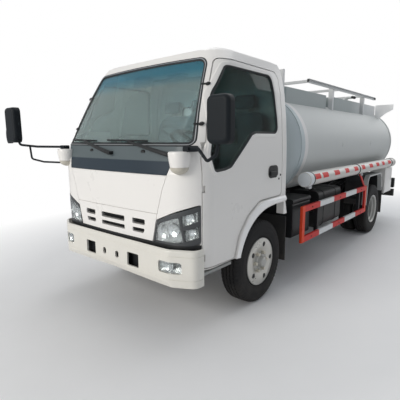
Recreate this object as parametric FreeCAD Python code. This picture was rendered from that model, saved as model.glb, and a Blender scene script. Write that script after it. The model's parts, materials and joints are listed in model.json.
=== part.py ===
import FreeCAD, Part
import math
import os

# Light cab-over tanker truck, in millimetres.
# +X is the vehicle's left, +Y runs to the rear and +Z is up.
# The origin is on the ground, on the centre plane, under the front axle.

V = FreeCAD.Vector

# Running gear
WHEELBASE = 3360.0
TYRE_R = 387.0
TYRE_W = 200.0
BEAD_R = 206.0
RIM_LIP_R = 222.0
FRONT_TRACK_HALF = 765.0
REAR_OUTER_X = 830.0
REAR_INNER_X = 595.0
KINGPIN_X = 650.0
STEER_ARM = 170.0
TIE_ROD_Z = 322.0
SPINDLE_R = 30.0
BORE_GAP = 0.4
LUG_CIRCLE_R = 88.0
LUG_COUNT = 6
VENT_COUNT = 8

# Chassis frame
RAIL_X = 375.0
RAIL_FLANGE = 60.0
RAIL_WALL = 7.0
RAIL_LOW = 560.0
RAIL_HIGH = 750.0
FRAME_FRONT = -900.0
FRAME_REAR = 4690.0
CROSS_YS = (-860.0, 1120.0, 2050.0, 2820.0, 3900.0, 4640.0)
SUBFRAME_H = 50.0

# Tank
TANK_W = 855.0
TANK_H = 585.0
TANK_Z = 1432.0
TANK_CORNER_R = 330.0
TANK_CORNER_X = 400.0
TANK_CORNER_Z = 200.0
TANK_FRONT = 777.0
TANK_REAR = 4487.0
HEAD_DEPTH = 165.0
BAND_W = 34.0
BAND_H = 10.0

# Tank top
WALK_X = 590.0
COAMING_TOP = 2075.0
COAMING_WALL = 12.0
COAMING_SPANS = ((860.0, 2105.0), (2290.0, 3520.0), (3600.0, 4380.0))
RAIL_BAR_TOP = 2205.0
RAIL_BAR_H = 42.0
RAIL_BAR_SPAN = (1366.0, 4120.0)
RAIL_CROSS_YS = (1386.0, 2400.0, 3500.0)
MANHOLE_YS = (2900.0, 3990.0)
MANHOLE_R = 250.0
LID_Z = 2062.0

# Cab
CAB_W = 890.0
CAB_FRONT = -1008.0
CAB_BACK = 390.0
CAB_BOTTOM = 540.0
CAB_WALL = 45.0
BELT_Z = 1262.0
SCREEN_Z = 1462.0
ROOF_Z = 2296.0
PANEL_LOW = 735.0
GRILLE_TOP = 958.0
SEAM_W = 4.0
SEAM_DEEP = 9.0
FLOOR_Z = 600.0
SEAT_FLOOR_Z = 960.0
TUNNEL_X = 340.0
TUNNEL_Z = 1050.0
SHEET = 40.0
PIVOT_Y = -975.0
PIVOT_Z = 705.0
HINGE_X = 848.0
HINGE_Y = -812.0
DOOR_GAP = 8.0
PILLAR_W = 42.0
ARCH_DEEP = 60.0
DOOR_SWEEP_R = 66.0
CORNER_SWEEP_R = 24.0
HINGE_ZS = (610.0, 1130.0)
GLASS_INSET = 12.0
GLASS_T = 6.0
BLADE_R = 7.0
WIPERS = (((-6, 1406), (-748, 1516), (-285, 1505)), ((651, 1405), (-119, 1510), (390, 1502)))
MIRROR_CORNER_R = 46.0
MIRROR_ROLL_R = 30.0

# Front bumper
BUMPER_FRONT = -1045.0
BUMPER_TOP = 716.0
BUMPER_LOW = 430.0
BUMPER_W = 885.0
BUMPER_WALL = 14.0
BUMPER_TOP_R = 20.0
BUMPER_FOLDS = (486.0, 664.0)
BUMPER_BACK = -850.0
FOG_X = 688.0
FOG_HALF = 98.0
FOG_LOW = 532.0
FOG_HIGH = 622.0

# Rear number-plate holes
PLATE_PITCH = 210.0
PLATE_HOLE_R = 3.5

# Side equipment
HOSE_X = 930.0
HOSE_Z = 1090.0
HOSE_R = 72.0
HOSE_SPAN = (720.0, 4300.0)
GUARD_X = 942.0
GUARD_SPAN = (658.0, 2848.0)
GUARD_LOW = 425.0
GUARD_HIGH = 816.0
GUARD_BAR = 62.0
GUARD_T = 30.0
FENDER_TOP = 950.0
FENDER_IN = 600.0
FENDER_OUT = 932.0
CABINET_IN = 700.0
CABINET_OUT = 930.0
CABINET_SPAN = (3900.0, 4350.0)
CABINET_Z = (580.0, 1000.0)
CABINET_WALL = 16.0
HINGE_EDGE = 8.0

AXES = {
    "xy": lambda a, b, c: V(a, b, c),
    "xz": lambda a, b, c: V(a, c, b),
    "yz": lambda a, b, c: V(c, a, b),
}
NORMALS = {"xy": V(0, 0, 1), "xz": V(0, 1, 0), "yz": V(1, 0, 0)}


def outline(plane, points, radius=0.0, level=0.0):
    """Closed wire through points in a plane, its corners rounded by radius."""
    put = AXES[plane]
    count = len(points)
    edges = []
    starts = []
    ends = []
    for i in range(count):
        px, py = points[i - 1]
        bx, by = points[i]
        nx, ny = points[(i + 1) % count]
        r = radius[i] if isinstance(radius, (list, tuple)) else radius
        ux, uy = px - bx, py - by
        wx, wy = nx - bx, ny - by
        lu = math.hypot(ux, uy)
        lw = math.hypot(wx, wy)
        ux, uy, wx, wy = ux / lu, uy / lu, wx / lw, wy / lw
        half = math.acos(max(-1.0, min(1.0, ux * wx + uy * wy))) / 2
        if r < 0.01 or half > 1.56:
            starts.append((bx, by))
            ends.append((bx, by))
            edges.append(None)
            continue
        run = min(r / math.tan(half), 0.48 * lu, 0.48 * lw)
        r = run * math.tan(half)
        sx, sy = ux + wx, uy + wy
        size = math.hypot(sx, sy)
        reach = r / math.sin(half) - r
        start = (bx + ux * run, by + uy * run)
        end = (bx + wx * run, by + wy * run)
        mid = (bx + sx / size * reach, by + sy / size * reach)
        starts.append(start)
        ends.append(end)
        edges.append(Part.Arc(put(*start, level), put(*mid, level), put(*end, level)).toShape())
    chain = []
    for i in range(count):
        if edges[i] is not None:
            chain.append(edges[i])
        a = ends[i]
        b = starts[(i + 1) % count]
        if math.hypot(a[0] - b[0], a[1] - b[1]) > 1e-6:
            chain.append(Part.LineSegment(put(*a, level), put(*b, level)).toShape())
    return Part.Wire(chain)


def prism(plane, points, low, high, radius=0.0):
    """Outline extruded from low to high along the plane's third axis."""
    face = Part.Face(outline(plane, points, radius, low))
    return face.extrude(NORMALS[plane] * (high - low))


def block(x0, x1, y0, y1, z0, z1):
    """Box between two opposite corners."""
    return Part.makeBox(x1 - x0, y1 - y0, z1 - z0, V(x0, y0, z0))


def round_block(x0, x1, y0, y1, z0, z1, radius, plane="xz"):
    """Box with its four edges along one axis rounded."""
    spans = {"x": (x0, x1), "y": (y0, y1), "z": (z0, z1)}
    third = ({"x", "y", "z"} - set(plane)).pop()
    a0, a1 = spans[plane[0]]
    b0, b1 = spans[plane[1]]
    low, high = spans[third]
    return prism(plane, [(a0, b0), (a1, b0), (a1, b1), (a0, b1)], low, high, radius)


def bar_x(x0, x1, y, z, r):
    """Round bar along X."""
    return Part.makeCylinder(r, x1 - x0, V(x0, y, z), V(1, 0, 0))


def bar_y(y0, y1, x, z, r):
    """Round bar along Y."""
    return Part.makeCylinder(r, y1 - y0, V(x, y0, z), V(0, 1, 0))


def bar_z(z0, z1, x, y, r):
    """Round bar along Z."""
    return Part.makeCylinder(r, z1 - z0, V(x, y, z0), V(0, 0, 1))


def tube(points, r, bend):
    """Round bar along straight runs joined by tangent arcs."""
    pts = [V(*p) for p in points]
    edges = []
    last = pts[0]
    for i in range(1, len(pts) - 1):
        a = (pts[i - 1] - pts[i]).normalize()
        b = (pts[i + 1] - pts[i]).normalize()
        half = a.getAngle(b) / 2
        run = bend / math.tan(half)
        start = pts[i] + a * run
        end = pts[i] + b * run
        mid = pts[i] + (a + b).normalize() * (bend / math.sin(half) - bend)
        edges.append(Part.LineSegment(last, start).toShape())
        edges.append(Part.Arc(start, mid, end).toShape())
        last = end
    edges.append(Part.LineSegment(last, pts[-1]).toShape())
    path = Part.Wire(edges)
    ring = Part.Wire(Part.Circle(pts[0], pts[1] - pts[0], r).toShape())
    return path.makePipeShell([ring], True, False)


def turned(profile, x, y, z, radius=0.0):
    """Profile of (along X, out from the axis) turned about an axis along X."""
    wire = outline("xz", profile, radius)
    solid = Part.Face(wire).revolve(V(0, 0, 0), V(1, 0, 0), 360)
    solid.translate(V(x, y, z))
    return solid


def flip(shape):
    """Mirror image across the centre plane."""
    return shape.mirror(V(0, 0, 0), V(1, 0, 0))


def both(shapes):
    """The shapes and their mirror images."""
    return list(shapes) + [flip(s) for s in shapes]


def fuse(shapes):
    """One solid from shapes that touch or overlap."""
    shapes = list(shapes)
    whole = shapes[0].multiFuse(shapes[1:]) if len(shapes) > 1 else shapes[0]
    return whole.removeSplitter()


# Tank

def tank_section(y, scale=1.0, grow=0.0):
    """Flattened round section: a wide arc each way, joined by corner arcs."""
    c = TANK_CORNER_R
    kx = TANK_CORNER_X - TANK_W
    kz = TANK_CORNER_Z - TANK_H
    side_r = (c * c - TANK_CORNER_Z ** 2 - kx * kx) / (2 * (kx + c))
    top_r = (c * c - TANK_CORNER_X ** 2 - kz * kz) / (2 * (kz + c))
    corner = (TANK_CORNER_X, TANK_CORNER_Z)
    top_c = (0.0, TANK_H - top_r)
    side_c = (TANK_W - side_r, 0.0)

    def reach(centre, through, r):
        dx = through[0] - centre[0]
        dz = through[1] - centre[1]
        size = math.hypot(dx, dz)
        return centre[0] + dx / size * r, centre[1] + dz / size * r

    on_top = reach(top_c, corner, top_r + grow)
    on_side = reach(side_c, corner, side_r + grow)
    angle = (math.atan2(on_top[1] - corner[1], on_top[0] - corner[0])
             + math.atan2(on_side[1] - corner[1], on_side[0] - corner[0])) / 2
    on_corner = (corner[0] + (c + grow) * math.cos(angle), corner[1] + (c + grow) * math.sin(angle))

    def at(x, z):
        return V(x * scale, y, TANK_Z + z * scale)

    w = TANK_W + grow
    h = TANK_H + grow
    arcs = []
    quarters = ((1, 1), (-1, 1), (-1, -1), (1, -1))
    for sx, sz in quarters:
        first = on_side if sx * sz > 0 else on_top
        second = on_top if sx * sz > 0 else on_side
        arcs.append(Part.Arc(at(sx * first[0], sz * first[1]), at(sx * on_corner[0], sz * on_corner[1]),
                             at(sx * second[0], sz * second[1])).toShape())
        if sx * sz > 0:
            arcs.append(Part.Arc(at(sx * on_top[0], sz * on_top[1]), at(0, sz * h),
                                 at(-sx * on_top[0], sz * on_top[1])).toShape())
        else:
            arcs.append(Part.Arc(at(sx * on_side[0], sz * on_side[1]), at(sx * w, 0),
                                 at(sx * on_side[0], -sz * on_side[1])).toShape())
    return Part.Wire(arcs)


def tank_barrel(y0, y1, grow=0.0):
    """Straight length of the tank."""
    return Part.Face(tank_section(y0, 1.0, grow)).extrude(V(0, y1 - y0, 0))


def tank_head(y, way):
    """Dished end: scaled sections along an elliptical profile."""
    wires = []
    for degrees in (0.0, 22.0, 42.0, 60.0, 74.0):
        a = math.radians(degrees)
        wires.append(tank_section(y + way * HEAD_DEPTH * math.sin(a), 0.18 + 0.82 * math.cos(a)))
    return Part.makeLoft(wires, True, False)


def tank():
    """Shell with dished heads and the raised seam bands."""
    parts = [tank_barrel(TANK_FRONT, TANK_REAR), tank_head(TANK_FRONT, -1), tank_head(TANK_REAR, 1)]
    for y in (TANK_FRONT, TANK_REAR - BAND_W):
        parts.append(tank_barrel(y, y + BAND_W, BAND_H))
    return [fuse(parts)]


def tank_saddles():
    """Long bearers on the frame and cross saddles cut to the shell."""
    low = RAIL_HIGH + SUBFRAME_H
    barrel = tank_barrel(TANK_FRONT, TANK_REAR)
    solids = []
    for side in (-1, 1):
        x0, x1 = sorted((side * (RAIL_X - RAIL_FLANGE), side * RAIL_X))
        solids.append(block(x0, x1, TANK_FRONT, TANK_REAR, RAIL_HIGH, low))
    for y in (960.0, 1860.0, 2700.0, 3560.0, 4360.0):
        saddle = prism("xz", [(-430, low), (430, low), (640, 1010), (560, 1060), (-560, 1060), (-640, 1010)],
                       y - 22, y + 22)
        solids.append(saddle.cut(barrel))
    return solids


def coamings():
    """Three open boxes of side and end plates, seated on the shell."""
    barrel = tank_barrel(TANK_FRONT, TANK_REAR)
    low = TANK_Z + TANK_H - 140
    solids = []
    for y0, y1 in COAMING_SPANS:
        ring = round_block(-WALK_X, WALK_X, y0, y1, low, COAMING_TOP, 70, "xy")
        t = COAMING_WALL
        inner = round_block(-WALK_X + t, WALK_X - t, y0 + t, y1 - t, low - 1, COAMING_TOP + 1, 70 - t, "xy")
        solids.append(ring.cut(inner).cut(barrel))
    return solids


def rail_posts():
    """Upright channels beside the coamings that carry the top rails."""
    barrel = tank_barrel(TANK_FRONT, TANK_REAR)
    solids = []
    for y0, y1, top in ((822.0, 852.0, 2245.0), (2200.0, 2245.0, 2184.0), (3545.0, 3590.0, 2172.0)):
        x0 = WALK_X + (-50 if y0 < 900 else -30)
        channel = prism("xy", [(x0, y0), (x0 + 60, y0), (x0 + 60, y1), (x0, y1), (x0, y1 - 6),
                               (x0 + 54, y1 - 6), (x0 + 54, y0 + 6), (x0, y0 + 6)], TANK_Z + 300, top)
        solids.append(channel.cut(barrel))
    return both(solids)


def handrails():
    """Two long channels joined by cross-bars over the walkway."""
    y0, y1 = RAIL_BAR_SPAN
    x = WALK_X + 30.3
    top = RAIL_BAR_TOP
    low = top - RAIL_BAR_H
    solids = []
    side = prism("xz", [(x, low), (x + 30, low), (x + 30, low + 5), (x + 5, low + 5), (x + 5, top - 5),
                        (x + 30, top - 5), (x + 30, top), (x, top)], y0, y1)
    solids += both([side])
    for y in RAIL_CROSS_YS:
        solids.append(block(-x, x, y, y + 40, low + 4, top - 8))
    return [fuse(solids)]


def lid_mounts():
    """Short necks welded to the shell with a flange and hinge lugs."""
    barrel = tank_barrel(TANK_FRONT, TANK_REAR)
    solids = []
    for y in MANHOLE_YS:
        neck = bar_z(TANK_Z + TANK_H - 60, LID_Z - 14, 0, y, MANHOLE_R)
        flange = bar_z(LID_Z - 14, LID_Z - 0.3, 0, y, MANHOLE_R + 22)
        lugs = []
        for x in (-62.0, 46.0):
            lugs.append(prism("yz", [(y + MANHOLE_R - 10, LID_Z - 14), (y + MANHOLE_R + 62, LID_Z - 14),
                                     (y + MANHOLE_R + 62, LID_Z + 26), (y + MANHOLE_R + 30, LID_Z + 26),
                                     (y + MANHOLE_R + 19, LID_Z - 2), (y + MANHOLE_R - 10, LID_Z - 2)],
                              x, x + 16))
        pin = bar_x(-62, 62, y + MANHOLE_R + 44, LID_Z + 10, 7)
        solids.append(fuse([neck, flange, pin] + lugs).cut(barrel))
    return solids


def manhole_lid(y):
    """Domed lid with a rim, a hinge arm and a lifting handle."""
    r = MANHOLE_R + 14
    profile = [(0, 0), (r, 0), (r, 12), (r - 26, 14), (r * 0.6, 30), (0, 36)]
    face = Part.Face(outline("xz", profile, 0))
    dome = face.revolve(V(0, 0, 0), V(0, 0, 1), 360)
    dome.translate(V(0, y, LID_Z))
    pin_y = y + MANHOLE_R + 44
    arm = prism("yz", [(y + r - 60, LID_Z + 6), (pin_y + 14, LID_Z + 1), (pin_y + 14, LID_Z + 22),
                       (y + r - 60, LID_Z + 30)], -40, 40, 5)
    knob = bar_z(LID_Z + 8, LID_Z + 70, 0, y - r + 60, 16)
    cap = bar_z(LID_Z + 56, LID_Z + 84, 0, y - r + 60, 30)
    lid = fuse([dome, arm, knob, cap])
    return [lid.cut(bar_x(-62, 62, pin_y, LID_Z + 10, 7 + BORE_GAP))]


def roof_valves():
    """Vent valve in the front coaming and two vapour pipes by the rail."""
    barrel = tank_barrel(TANK_FRONT, TANK_REAR)
    low = TANK_Z + TANK_H - 40
    valve = fuse([bar_z(low, low + 90, 0, 1500, 60), bar_z(low + 70, low + 84, 0, 1500, 85),
                  bar_z(low + 84, low + 130, 0, 1500, 42)])
    solids = [valve.cut(barrel)]
    for y in (3225.0, 3300.0):
        pipe = tube([(430, y, low - 10), (430, y, 2150), (558, y, 2150)], 14, 40)
        solids.append(pipe.cut(barrel))
    return solids


def rear_wings():
    """Tapered plates across the rear shoulder of the tank."""
    barrel = tank_barrel(TANK_FRONT, TANK_REAR)
    wing = prism("xz", [(WALK_X + 0.3, 1800), (WALK_X + 0.3, 2095), (885, 2095), (885, 2010), (760, 1940)],
                 4352, 4360)
    return both([wing.cut(barrel)])


# Frame

def frame_rails():
    """Two channel-section rails, open towards the centre."""
    x = RAIL_X
    f = RAIL_FLANGE
    t = RAIL_WALL
    rail = prism("xz", [(x, RAIL_LOW), (x, RAIL_HIGH), (x - f, RAIL_HIGH), (x - f, RAIL_HIGH - t),
                        (x - t, RAIL_HIGH - t), (x - t, RAIL_LOW + t), (x - f, RAIL_LOW + t), (x - f, RAIL_LOW)],
                 FRAME_FRONT, FRAME_REAR)
    return both([rail])


def frame_crossmembers():
    """Channels between the rails, above the propeller shaft."""
    x = RAIL_X - RAIL_WALL
    solids = []
    for y in CROSS_YS:
        solids.append(prism("yz", [(y - 30, 640), (y + 30, 640), (y + 30, 648), (y - 22, 648), (y - 22, 728),
                                   (y + 30, 728), (y + 30, 736), (y - 30, 736)], -x, x))
    return solids


def cab_hinge():
    """Brackets on the front of the rails with the pins that the cab tilts on."""
    outer = RAIL_X + 22
    solids = []
    for x in (RAIL_X - 30, RAIL_X + 6):
        plate = prism("yz", [(FRAME_FRONT, 600), (FRAME_FRONT, 728), (PIVOT_Y - 20, PIVOT_Z + 20),
                             (PIVOT_Y - 20, PIVOT_Z - 20), (-940, 600)], x, x + 12, [0, 0, 19, 19, 10])
        solids.append(plate)
    foot = block(RAIL_X - RAIL_FLANGE, outer, FRAME_FRONT - 10, FRAME_FRONT, 580, 745)
    pin = bar_x(RAIL_X - 30, RAIL_X + 18, PIVOT_Y, PIVOT_Z, 13)
    return both([fuse(solids + [foot, pin])])


def engine():
    """Engine, gearbox and their mounts as one closed block."""
    body = round_block(-215, 215, -440, 330, 470, 945, 60, "xz")
    box = prism("yz", [(330, 480), (330, 800), (620, 700), (980, 640), (980, 480), (620, 440)], -130, 130)
    feet = [block(-RAIL_X + RAIL_WALL, RAIL_X - RAIL_WALL, y, y + 70, 600, 660) for y in (-200.0, 820.0)]
    front = bar_y(-500, -440, 0, 700, 110)
    return [fuse([body, box, front] + feet)]


def radiator():
    """Radiator core and tanks between the rails, behind the grille."""
    core = block(-270, 270, -760, -690, 560, 960)
    tanks = [round_block(-285, 285, -775, -675, z, z + 60, 20, "yz") for z in (530.0, 940.0)]
    feet = [block(*sorted((s * 240, s * (RAIL_X - RAIL_WALL))), -750, -700, 600, 640) for s in (-1, 1)]
    return [fuse([core] + tanks + feet)]


def prop_shaft():
    """Tube from the gearbox down to the rear axle, with its joints."""
    a = V(0, 985, 560)
    b = V(0, WHEELBASE - 180, TYRE_R + 10)
    run = b - a
    shaft = Part.makeCylinder(42, run.Length - 160, a + run * (80 / run.Length), run)
    ends = [Part.makeCylinder(58, 82, a, run), Part.makeCylinder(58, 82, b - run * (82 / run.Length), run)]
    return [fuse([shaft] + ends)]


def leaf_pack(x0, x1, y, half, axle_top, eye_z, leaves, thick):
    """Arched leaves, each shorter than the one above, with eyes at the ends."""
    parts = []
    for i in range(leaves):
        reach = half * (1 - 0.16 * i)
        rise = (eye_z - axle_top - leaves * thick) * (reach / half) ** 2
        base = axle_top + (leaves - 1 - i) * thick

        def leaf(top):
            return [V(x0, y - reach, base + rise + top), V(x0, y, base + top), V(x0, y + reach, base + rise + top)]

        low = leaf(0)
        high = leaf(thick)
        wire = Part.Wire([Part.Arc(*low).toShape(), Part.LineSegment(low[2], high[2]).toShape(),
                          Part.Arc(*reversed(high)).toShape(), Part.LineSegment(high[0], low[0]).toShape()])
        parts.append(Part.Face(wire).extrude(V(x1 - x0, 0, 0)))
    for way in (-1, 1):
        parts.append(bar_x(x0, x1, y + way * half, eye_z - thick / 2, 22))
    return parts


def front_springs():
    """Front leaf springs under the rails, with hangers and clamp plates."""
    x0 = RAIL_X - 68
    x1 = RAIL_X - 2
    parts = leaf_pack(x0, x1, 0, 610, 428, 505, 3, 12)
    for y in (-610.0, 610.0):
        parts.append(prism("yz", [(y - 40, RAIL_LOW), (y + 40, RAIL_LOW), (y + 24, 490), (y - 24, 490)], x0, x1, 12))
    parts.append(block(x0, x1, -55, 55, 420.3, 478))
    return both([fuse(parts)])


def rear_springs():
    """Rear leaf springs outside the rails, with hangers and clamp plates."""
    x0 = RAIL_X + 18
    x1 = RAIL_X + 88
    y = WHEELBASE
    parts = leaf_pack(x0, x1, y, 620, TYRE_R + 62, 600, 6, 13)
    for end in (y - 620, y + 620):
        parts.append(prism("yz", [(end - 55, 735), (end + 55, 735), (end + 26, 560), (end - 26, 560)],
                           RAIL_X, x1, 14))
    parts.append(block(x0, x1, y - 70, y + 70, TYRE_R + 55, TYRE_R + 160))
    return both([fuse(parts)])


def front_axle():
    """Dropped beam with an eye and a king pin at each end."""
    top = [(0, 385), (420, 385), (560, 425), (KINGPIN_X + 26, 425)]
    low = [(KINGPIN_X + 26, 345), (570, 345), (450, 305), (0, 305)]
    half = prism("xz", top + low, -36, 36, [0, 40, 40, 6, 6, 40, 40, 0])
    eye = bar_z(345, 425, KINGPIN_X, 0, 44)
    pin = bar_z(300, 470, KINGPIN_X, 0, 17)
    seat = block(RAIL_X - 68, RAIL_X - 2, -60, 60, 380, 420)
    side = fuse([half, eye, pin, seat])
    return [fuse([side, flip(side)])]


def rear_axle():
    """Axle tube with its final-drive housing and spindles."""
    housing = turned([(-150, 60), (-95, 150), (-30, 178), (60, 178), (110, 140), (160, 60), (160, 0), (-150, 0)],
                     0, WHEELBASE, TYRE_R, 12)
    nose = bar_y(WHEELBASE - 175 + 0.3, WHEELBASE, 0, TYRE_R + 10, 70)
    beam = bar_x(-520, 520, WHEELBASE, TYRE_R, 55)
    ends = bar_x(-840, 840, WHEELBASE, TYRE_R, SPINDLE_R)
    return [fuse([housing, nose, beam, ends])]


def knuckle():
    """Fork round the king-pin eye, with the wheel spindle and steering arm."""
    z = TYRE_R
    fork = prism("xz", [(KINGPIN_X - 30, 429), (KINGPIN_X - 30, 462), (722, 462), (722, 312),
                        (KINGPIN_X - 30, 312), (KINGPIN_X - 30, 341), (700, 341), (700, 429)], -34, 34, 6)
    spindle = bar_x(712, 852, 0, z, SPINDLE_R)
    arm = prism("xy", [(KINGPIN_X - 22, -10), (KINGPIN_X + 22, -10), (KINGPIN_X + 18, STEER_ARM),
                       (KINGPIN_X + 8, STEER_ARM + 18), (KINGPIN_X - 8, STEER_ARM + 18),
                       (KINGPIN_X - 18, STEER_ARM)], 312, 336, 6)
    ball = bar_z(TIE_ROD_Z - 34, 320, KINGPIN_X, STEER_ARM, 9)
    body = fuse([fork, spindle, arm, ball])
    return body.cut(bar_z(290, 480, KINGPIN_X, 0, 17 + BORE_GAP))


def tie_rod():
    """Rod that joins the two steering arms, hung below them."""
    z = TIE_ROD_Z - 24
    rod = bar_x(-KINGPIN_X + 12, KINGPIN_X - 12, STEER_ARM, z, 13)
    eyes = [bar_z(z - 13, z + 13, s * KINGPIN_X, STEER_ARM, 20) for s in (-1, 1)]
    body = fuse([rod] + eyes)
    for s in (-1, 1):
        body = body.cut(bar_z(z - 20, z + 20, s * KINGPIN_X, STEER_ARM, 9 + BORE_GAP))
    return [body]


# Wheels

def tyre(x, y):
    """Road tyre with rounded shoulders, open at the bead."""
    half = TYRE_W / 2
    side = [(half - 24, BEAD_R), (half - 22, RIM_LIP_R + 3), (half - 6, RIM_LIP_R + 21), (half, BEAD_R + 80),
            (half - 5, TYRE_R - 45), (half - 20, TYRE_R - 10), (half - 34, TYRE_R)]
    return turned(side + [(-a, r) for a, r in reversed(side)], x, y, TYRE_R)


def barrel_profile(x0, x1):
    """Drop-centre rim well between two lips, as a closed outline."""
    outer = [(x0, RIM_LIP_R), (x0 + 7, RIM_LIP_R), (x0 + 14, BEAD_R - 0.3), (x0 + 40, BEAD_R - 4),
             (x0 + 56, 186), (x1 - 56, 186), (x1 - 40, BEAD_R - 4), (x1 - 14, BEAD_R - 0.3),
             (x1 - 7, RIM_LIP_R), (x1, RIM_LIP_R)]
    inner = [(x1, BEAD_R + 4), (x1 - 14, BEAD_R - 12), (x1 - 42, BEAD_R - 14), (x1 - 58, 178),
             (x0 + 58, 178), (x0 + 42, BEAD_R - 14), (x0 + 14, BEAD_R - 12), (x0, BEAD_R + 4)]
    return outer + inner


def disc_holes(x0, x1, circle, hole):
    """Ring of round vent holes through a disc."""
    holes = []
    for i in range(VENT_COUNT):
        a = 2 * math.pi * (i + 0.5) / VENT_COUNT
        holes.append(bar_x(x0, x1, circle * math.cos(a), circle * math.sin(a), hole))
    return holes


def lugs(x0, x1, r):
    """Ring of wheel nuts."""
    nuts = []
    for i in range(LUG_COUNT):
        a = 2 * math.pi * i / LUG_COUNT
        nuts.append(bar_x(x0, x1, LUG_CIRCLE_R * math.cos(a), LUG_CIRCLE_R * math.sin(a), r))
    return nuts


def front_rim():
    """Rim with a crowned disc near its outer face, drum, hub and nuts."""
    well = turned(barrel_profile(-TYRE_W / 2 + 8, TYRE_W / 2 - 8), 0, 0, 0)
    disc = turned([(34, 184), (52, 172), (66, 150), (86, 118), (84, 66), (84, SPINDLE_R + 6), (72, SPINDLE_R + 6),
                   (72, 66), (73, 112), (55, 144), (42, 165), (28, 178)], 0, 0, 0)
    disc = disc.cut(fuse(disc_holes(20, 110, 143, 19)))
    hub = turned([(-20, SPINDLE_R + BORE_GAP), (-20, 70), (84, 62), (96, 52), (128, 44), (136, 34), (136, 0),
                  (92, 0), (92, SPINDLE_R + BORE_GAP)], 0, 0, 0)
    drum = turned([(-38, 140), (-38, 152), (34, 152), (46, 120), (46, 60), (34, 60), (34, 116), (28, 140)], 0, 0, 0)
    return fuse([well, disc, hub, drum] + lugs(80, 112, 13))


def rear_rims():
    """Twin rims back to back with deep dished discs, drum, hub and nuts."""
    mate = (REAR_OUTER_X + REAR_INNER_X) / 2
    outer_x = REAR_OUTER_X - mate
    inner_x = REAR_INNER_X - mate
    wide = TYRE_W / 2 - 8
    parts = []
    for x, way in ((outer_x, 1), (inner_x, -1)):
        parts.append(turned(barrel_profile(x - wide, x + wide), 0, 0, 0))
        dish = [(0, 50), (0, 118), (26, 150), (50, 170), (84, 182.5), (98, 182.5), (62, 164), (40, 142),
                (14, 112), (12, 50)]
        disc = turned([(way * a, r) for a, r in dish], 0, 0, 0)
        parts.append(disc.cut(fuse(disc_holes(-100, 100, 143, 20))))
    hub = turned([(-80, SPINDLE_R + BORE_GAP), (-80, 78), (60, 70), (104, 64), (112, 50), (134, 46), (134, 0),
                  (129, 0), (129, SPINDLE_R + BORE_GAP)], 0, 0, 0)
    drum = turned([(-172, 140), (-172, 152), (-40, 152), (-24, 118), (-24, 60), (-36, 60), (-36, 112),
                   (-48, 140)], 0, 0, 0)
    body = fuse(parts + [hub, drum] + lugs(0, 44, 14))
    body.translate(V(mate, WHEELBASE, TYRE_R))
    return body


# Cab

def cab_section(z, width, front, corner, sweep, back):
    """Plan of the cab at one height: crowned front, round corners, flat back."""
    bow_y = front + sweep
    cx = width - corner
    cy = bow_y - math.sqrt((sweep - corner) ** 2 - cx * cx)
    size = math.hypot(cx, cy - bow_y)
    tx = cx / size * sweep
    ty = bow_y + (cy - bow_y) / size * sweep
    turn = math.atan2(ty - cy, tx - cx) / 2
    mx = cx + corner * math.cos(turn)
    my = cy + corner * math.sin(turn)
    edges = [Part.LineSegment(V(width, back, z), V(width, cy, z)).toShape(),
             Part.Arc(V(width, cy, z), V(mx, my, z), V(tx, ty, z)).toShape(),
             Part.Arc(V(tx, ty, z), V(0, front, z), V(-tx, ty, z)).toShape(),
             Part.Arc(V(-tx, ty, z), V(-mx, my, z), V(-width, cy, z)).toShape(),
             Part.LineSegment(V(-width, cy, z), V(-width, back, z)).toShape(),
             Part.LineSegment(V(-width, back, z), V(width, back, z)).toShape()]
    return Part.Wire(edges)


CAB_LEVELS = (
    (CAB_BOTTOM, -6.0, 6.0, 250.0, 9000.0),
    (900.0, 0.0, 0.0, 250.0, 9000.0),
    (BELT_Z, 0.0, 0.0, 250.0, 9000.0),
    (SCREEN_Z, -4.0, 46.0, 215.0, 7500.0),
    (1700.0, -18.0, 165.0, 205.0, 6000.0),
    (1930.0, -44.0, 283.0, 200.0, 5000.0),
    (2126.0, -88.0, 388.0, 195.0, 4200.0),
    (2200.0, -132.0, 442.0, 190.0, 3800.0),
    (2310.0, -330.0, 640.0, 180.0, 3400.0),
)


def cab_form(inset):
    """Whole cab outline: plan sections up the sides, under a crowned roof."""
    wires = []
    for z, narrow, set_back, corner, sweep in CAB_LEVELS:
        wires.append(cab_section(z, CAB_W + narrow - inset, CAB_FRONT + set_back + inset * 1.1,
                                 corner - inset * 0.5, sweep, CAB_BACK - inset))
    body = Part.makeLoft(wires, True, True)
    top = ROOF_Z - inset
    crown = Part.Wire([
        Part.Arc(V(-CAB_W - 60, -1200, top - 128), V(0, -1200, top), V(CAB_W + 60, -1200, top - 128)).toShape(),
        Part.LineSegment(V(CAB_W + 60, -1200, top - 128), V(CAB_W + 60, -1200, 400)).toShape(),
        Part.LineSegment(V(CAB_W + 60, -1200, 400), V(-CAB_W - 60, -1200, 400)).toShape(),
        Part.LineSegment(V(-CAB_W - 60, -1200, 400), V(-CAB_W - 60, -1200, top - 128)).toShape()])
    body = body.common(Part.Face(crown).extrude(V(0, 1800, 0)))
    side = [(-1200, 400), (600, 400), (600, top - 150), (CAB_BACK - 30, top - 90), (250, top + 6),
            (-150, top + 6), (-640, top - 118), (-1200, top - 420)]
    return body.common(prism("yz", side, -CAB_W - 80, CAB_W + 80, [0, 0, 0, 120, 260, 900, 60, 0]))


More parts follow.
